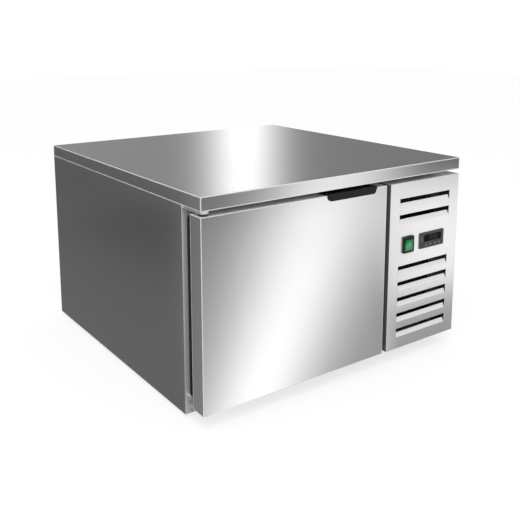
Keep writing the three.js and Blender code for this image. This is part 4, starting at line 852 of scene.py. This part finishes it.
# %% The card's band of light and the field beside it
card = bpy.data.materials.new("floor card")
card.use_nodes = True
tree = card.node_tree
tree.nodes.clear()
position = put(tree, "SeparateXYZ", None, {0: put(tree, "NewGeometry").outputs["Position"]})
x, y = position.outputs["X"], position.outputs["Y"]
band = use(tree, strip, Start=BAND_START, Along=(math.cos(BAND_TURN), math.sin(BAND_TURN), 0),
           Across=(-math.sin(BAND_TURN), math.cos(BAND_TURN), 0), Half_width=BAND_HALF_WIDTH,
           Widening=BAND_WIDENING)
run = calc(tree, "MINIMUM", band.outputs["Run"], LONGEST_RUN)
away = calc(tree, "MINIMUM", calc(tree, "MAXIMUM", band.outputs["Away"], -FARTHEST_AWAY), FARTHEST_AWAY)
beside_band = calc(tree, "MULTIPLY_ADD", away, BESIDE_TILT, calc(tree, "MULTIPLY_ADD", run, BESIDE_FALL, BESIDE_BAND))
band_level = calc(tree, "MULTIPLY_ADD", run, BAND_GAIN, BAND_LEVEL)
front_tone = calc(tree, "MULTIPLY_ADD", band.outputs["Strength"], band_level, beside_band)
print("band and field drawn with", len(tree.nodes), "nodes")

# %% What the cover mirrors, and what the worktop's front edge mirrors beyond it
bearing = calc(tree, "ARCTAN2", calc(tree, "SUBTRACT", x, SIGHT_POINT[0]), calc(tree, "SUBTRACT", SIGHT_POINT[1], y))
in_cover = times(tree, ramp(tree, bearing, *COVER_BEARINGS), ramp(tree, y, *COVER_ENDS))
front_tone = between(tree, in_cover, front_tone, ramp(tree, y, *COVER_PLACES, *COVER_TONES))
beyond = times(tree, ramp(tree, y, *reversed(COVER_ENDS)),
               ramp(tree, bearing, *BEYOND_BEARINGS, *BEYOND_LOSSES, smooth=False))
front_tone = times(tree, front_tone, calc(tree, "SUBTRACT", 1.0, beyond))

# The front right lies on the plain field, and the front left is bright.
front_right = times(tree, ramp(tree, x, -0.7, -0.4), ramp(tree, y, -0.2, -0.34))
level = between(tree, front_right, FIELD, front_tone)
front_left = times(tree, ramp(tree, x, -0.4, -0.7), ramp(tree, y, -0.6, -0.9))
level = between(tree, front_left, level, FRONT_LEFT_TONE)
print("front drawn with", len(tree.nodes), "nodes")

# %% The card's dark side: darkest in the middle distance, paler far out and beside the door
panel_tone = ramp(tree, x, *PANEL_PLACES, *PANEL_TONES, smooth=False)
near_front = times(tree, ramp(tree, y, *NEAR_PLACES_Y), ramp(tree, x, *NEAR_PLACES_X, 0.0, NEAR_LOSS))
panel_tone = calc(tree, "SUBTRACT", panel_tone, near_front)
far_left = times(tree, ramp(tree, x, *FAR_LEFT_PLACES), FAR_LEFT_TONE)
panel_tone = calc(tree, "MAXIMUM", panel_tone, far_left)
door_line = calc(tree, "MULTIPLY_ADD", calc(tree, "SUBTRACT", x, DOOR_CORNER[0]), DOOR_SLOPE,
                 calc(tree, "SUBTRACT", y, DOOR_CORNER[1]))
left_tone = between(tree, ramp(tree, door_line, *BESIDE_DOOR_PLACES), BESIDE_DOOR_TONE, panel_tone)
left_back = times(tree, ramp(tree, x, -0.320, -0.330), ramp(tree, y, -0.6, -0.45))
level = between(tree, left_back, level, left_tone)
print("dark side drawn with", len(tree.nodes), "nodes")

# %% The card is darkened under the object as a painted shadow, and is put on the floor
across_object = times(tree, ramp(tree, x, -0.335, -0.315), ramp(tree, x, 0.325, 0.305))
along_object = times(tree, ramp(tree, y, -0.345, -0.33), ramp(tree, y, 0.335, 0.315))
# painted shadow: the card's glow is lowered where the floor lies under the object
level = between(tree, times(tree, across_object, along_object), level, SHADOW_PAINTED_UNDER_OBJECT)

glow = put(tree, "Emission", None, {"Strength": level})
target = put(tree, "OutputMaterial")
tree.links.new(glow.outputs[0], target.inputs["Surface"])
floor_card = flat_square("studio_floor_card", CARD_HALF, CARD_LIFT, card)
for rays in ("camera", "diffuse", "transmission", "volume_scatter", "shadow"):
    setattr(floor_card, "visible_" + rays, False)
print("floor card made")

# %% [markdown]
# ### The world
# The upright faces also mirror what stands round the room. Tall softboxes do that in a studio, and here the
# world shows them to reflections as soft upright strips, one each quarter turn, with a plain white overhead.
# Real lights would do it too, but they would also light the floor. The camera sees plain white, and all other
# rays get an even light a little below white.

# %% World: white behind, soft strips round the horizon for steel
PLAIN_LEVEL = 0.78
STRIP_AZIMUTH = math.radians(34.5)
STRIP_WIDTH = math.radians(2.8)
STRIP_LEVEL = 1.05
HORIZON_LEVEL, HORIZON_SWING = 0.25, -0.05
OVERHEAD_HEIGHTS, OVERHEAD_LEVEL = (0.34, 0.62), 0.72
QUARTER = math.pi / 2

world = bpy.data.worlds.new("studio")
bpy.context.scene.world = world
world.use_nodes = True
tree = world.node_tree
tree.nodes.clear()
direction = put(tree, "SeparateXYZ", None, {0: put(tree, "TexCoord").outputs["Generated"]})
azimuth = calc(tree, "ARCTAN2", direction.outputs["X"], direction.outputs["Y"])
# The same strip comes back every quarter turn. Four quarters are added, as MODULO keeps a minus sign.
turned = calc(tree, "ADD", calc(tree, "SUBTRACT", azimuth, STRIP_AZIMUTH), QUARTER / 2 + 4 * QUARTER)
beside = calc(tree, "SUBTRACT", calc(tree, "MODULO", turned, QUARTER), QUARTER / 2)
near = calc(tree, "DIVIDE", beside, STRIP_WIDTH)
bright = calc(tree, "EXPONENT", times(tree, near, near, -1.0))
wave = calc(tree, "SINE", times(tree, beside, 4.0))
horizon = calc(tree, "MULTIPLY_ADD", bright, STRIP_LEVEL,
               calc(tree, "MULTIPLY_ADD", wave, HORIZON_SWING, HORIZON_LEVEL))
overhead = ramp(tree, direction.outputs["Z"], *OVERHEAD_HEIGHTS)
mirrored = between(tree, overhead, horizon, OVERHEAD_LEVEL)
path = put(tree, "LightPath")
level = between(tree, path.outputs["Is Glossy Ray"], PLAIN_LEVEL, mirrored)
level = between(tree, path.outputs["Is Camera Ray"], level, 1.0)
sky = put(tree, "Background", None, {"Color": grey(1.0), "Strength": level})
target = put(tree, "OutputWorld")
tree.links.new(sky.outputs[0], target.inputs["Surface"])
print("world made")

# %% [markdown]
# ### The key light
# One large softbox at the front left gives the plastics their shape and the floor its soft shadow. It is left
# out of reflections, because its square would stand in the steel as a hard patch.

# %% Key light
KEY_PLACE = Vector((-1.2, -1.6, 2.6))
KEY_AIM = Vector((0, 0, 0.2))
key_data = bpy.data.lights.new("key_softbox", "AREA")
key_data.shape = "SQUARE"
key_data.size = 1.8
key_data.energy = 28.0
key_light = bpy.data.objects.new("key_softbox", key_data)
key_light.location = KEY_PLACE
key_light.rotation_euler = (KEY_AIM - KEY_PLACE).to_track_quat("-Z", "Y").to_euler()
key_light.visible_glossy = False
bpy.context.scene.collection.objects.link(key_light)
print("key light made")

# %% [markdown]
# ## The last step
# The view layer is brought up to date.

# %% Update the view layer
bpy.context.view_layer.update()
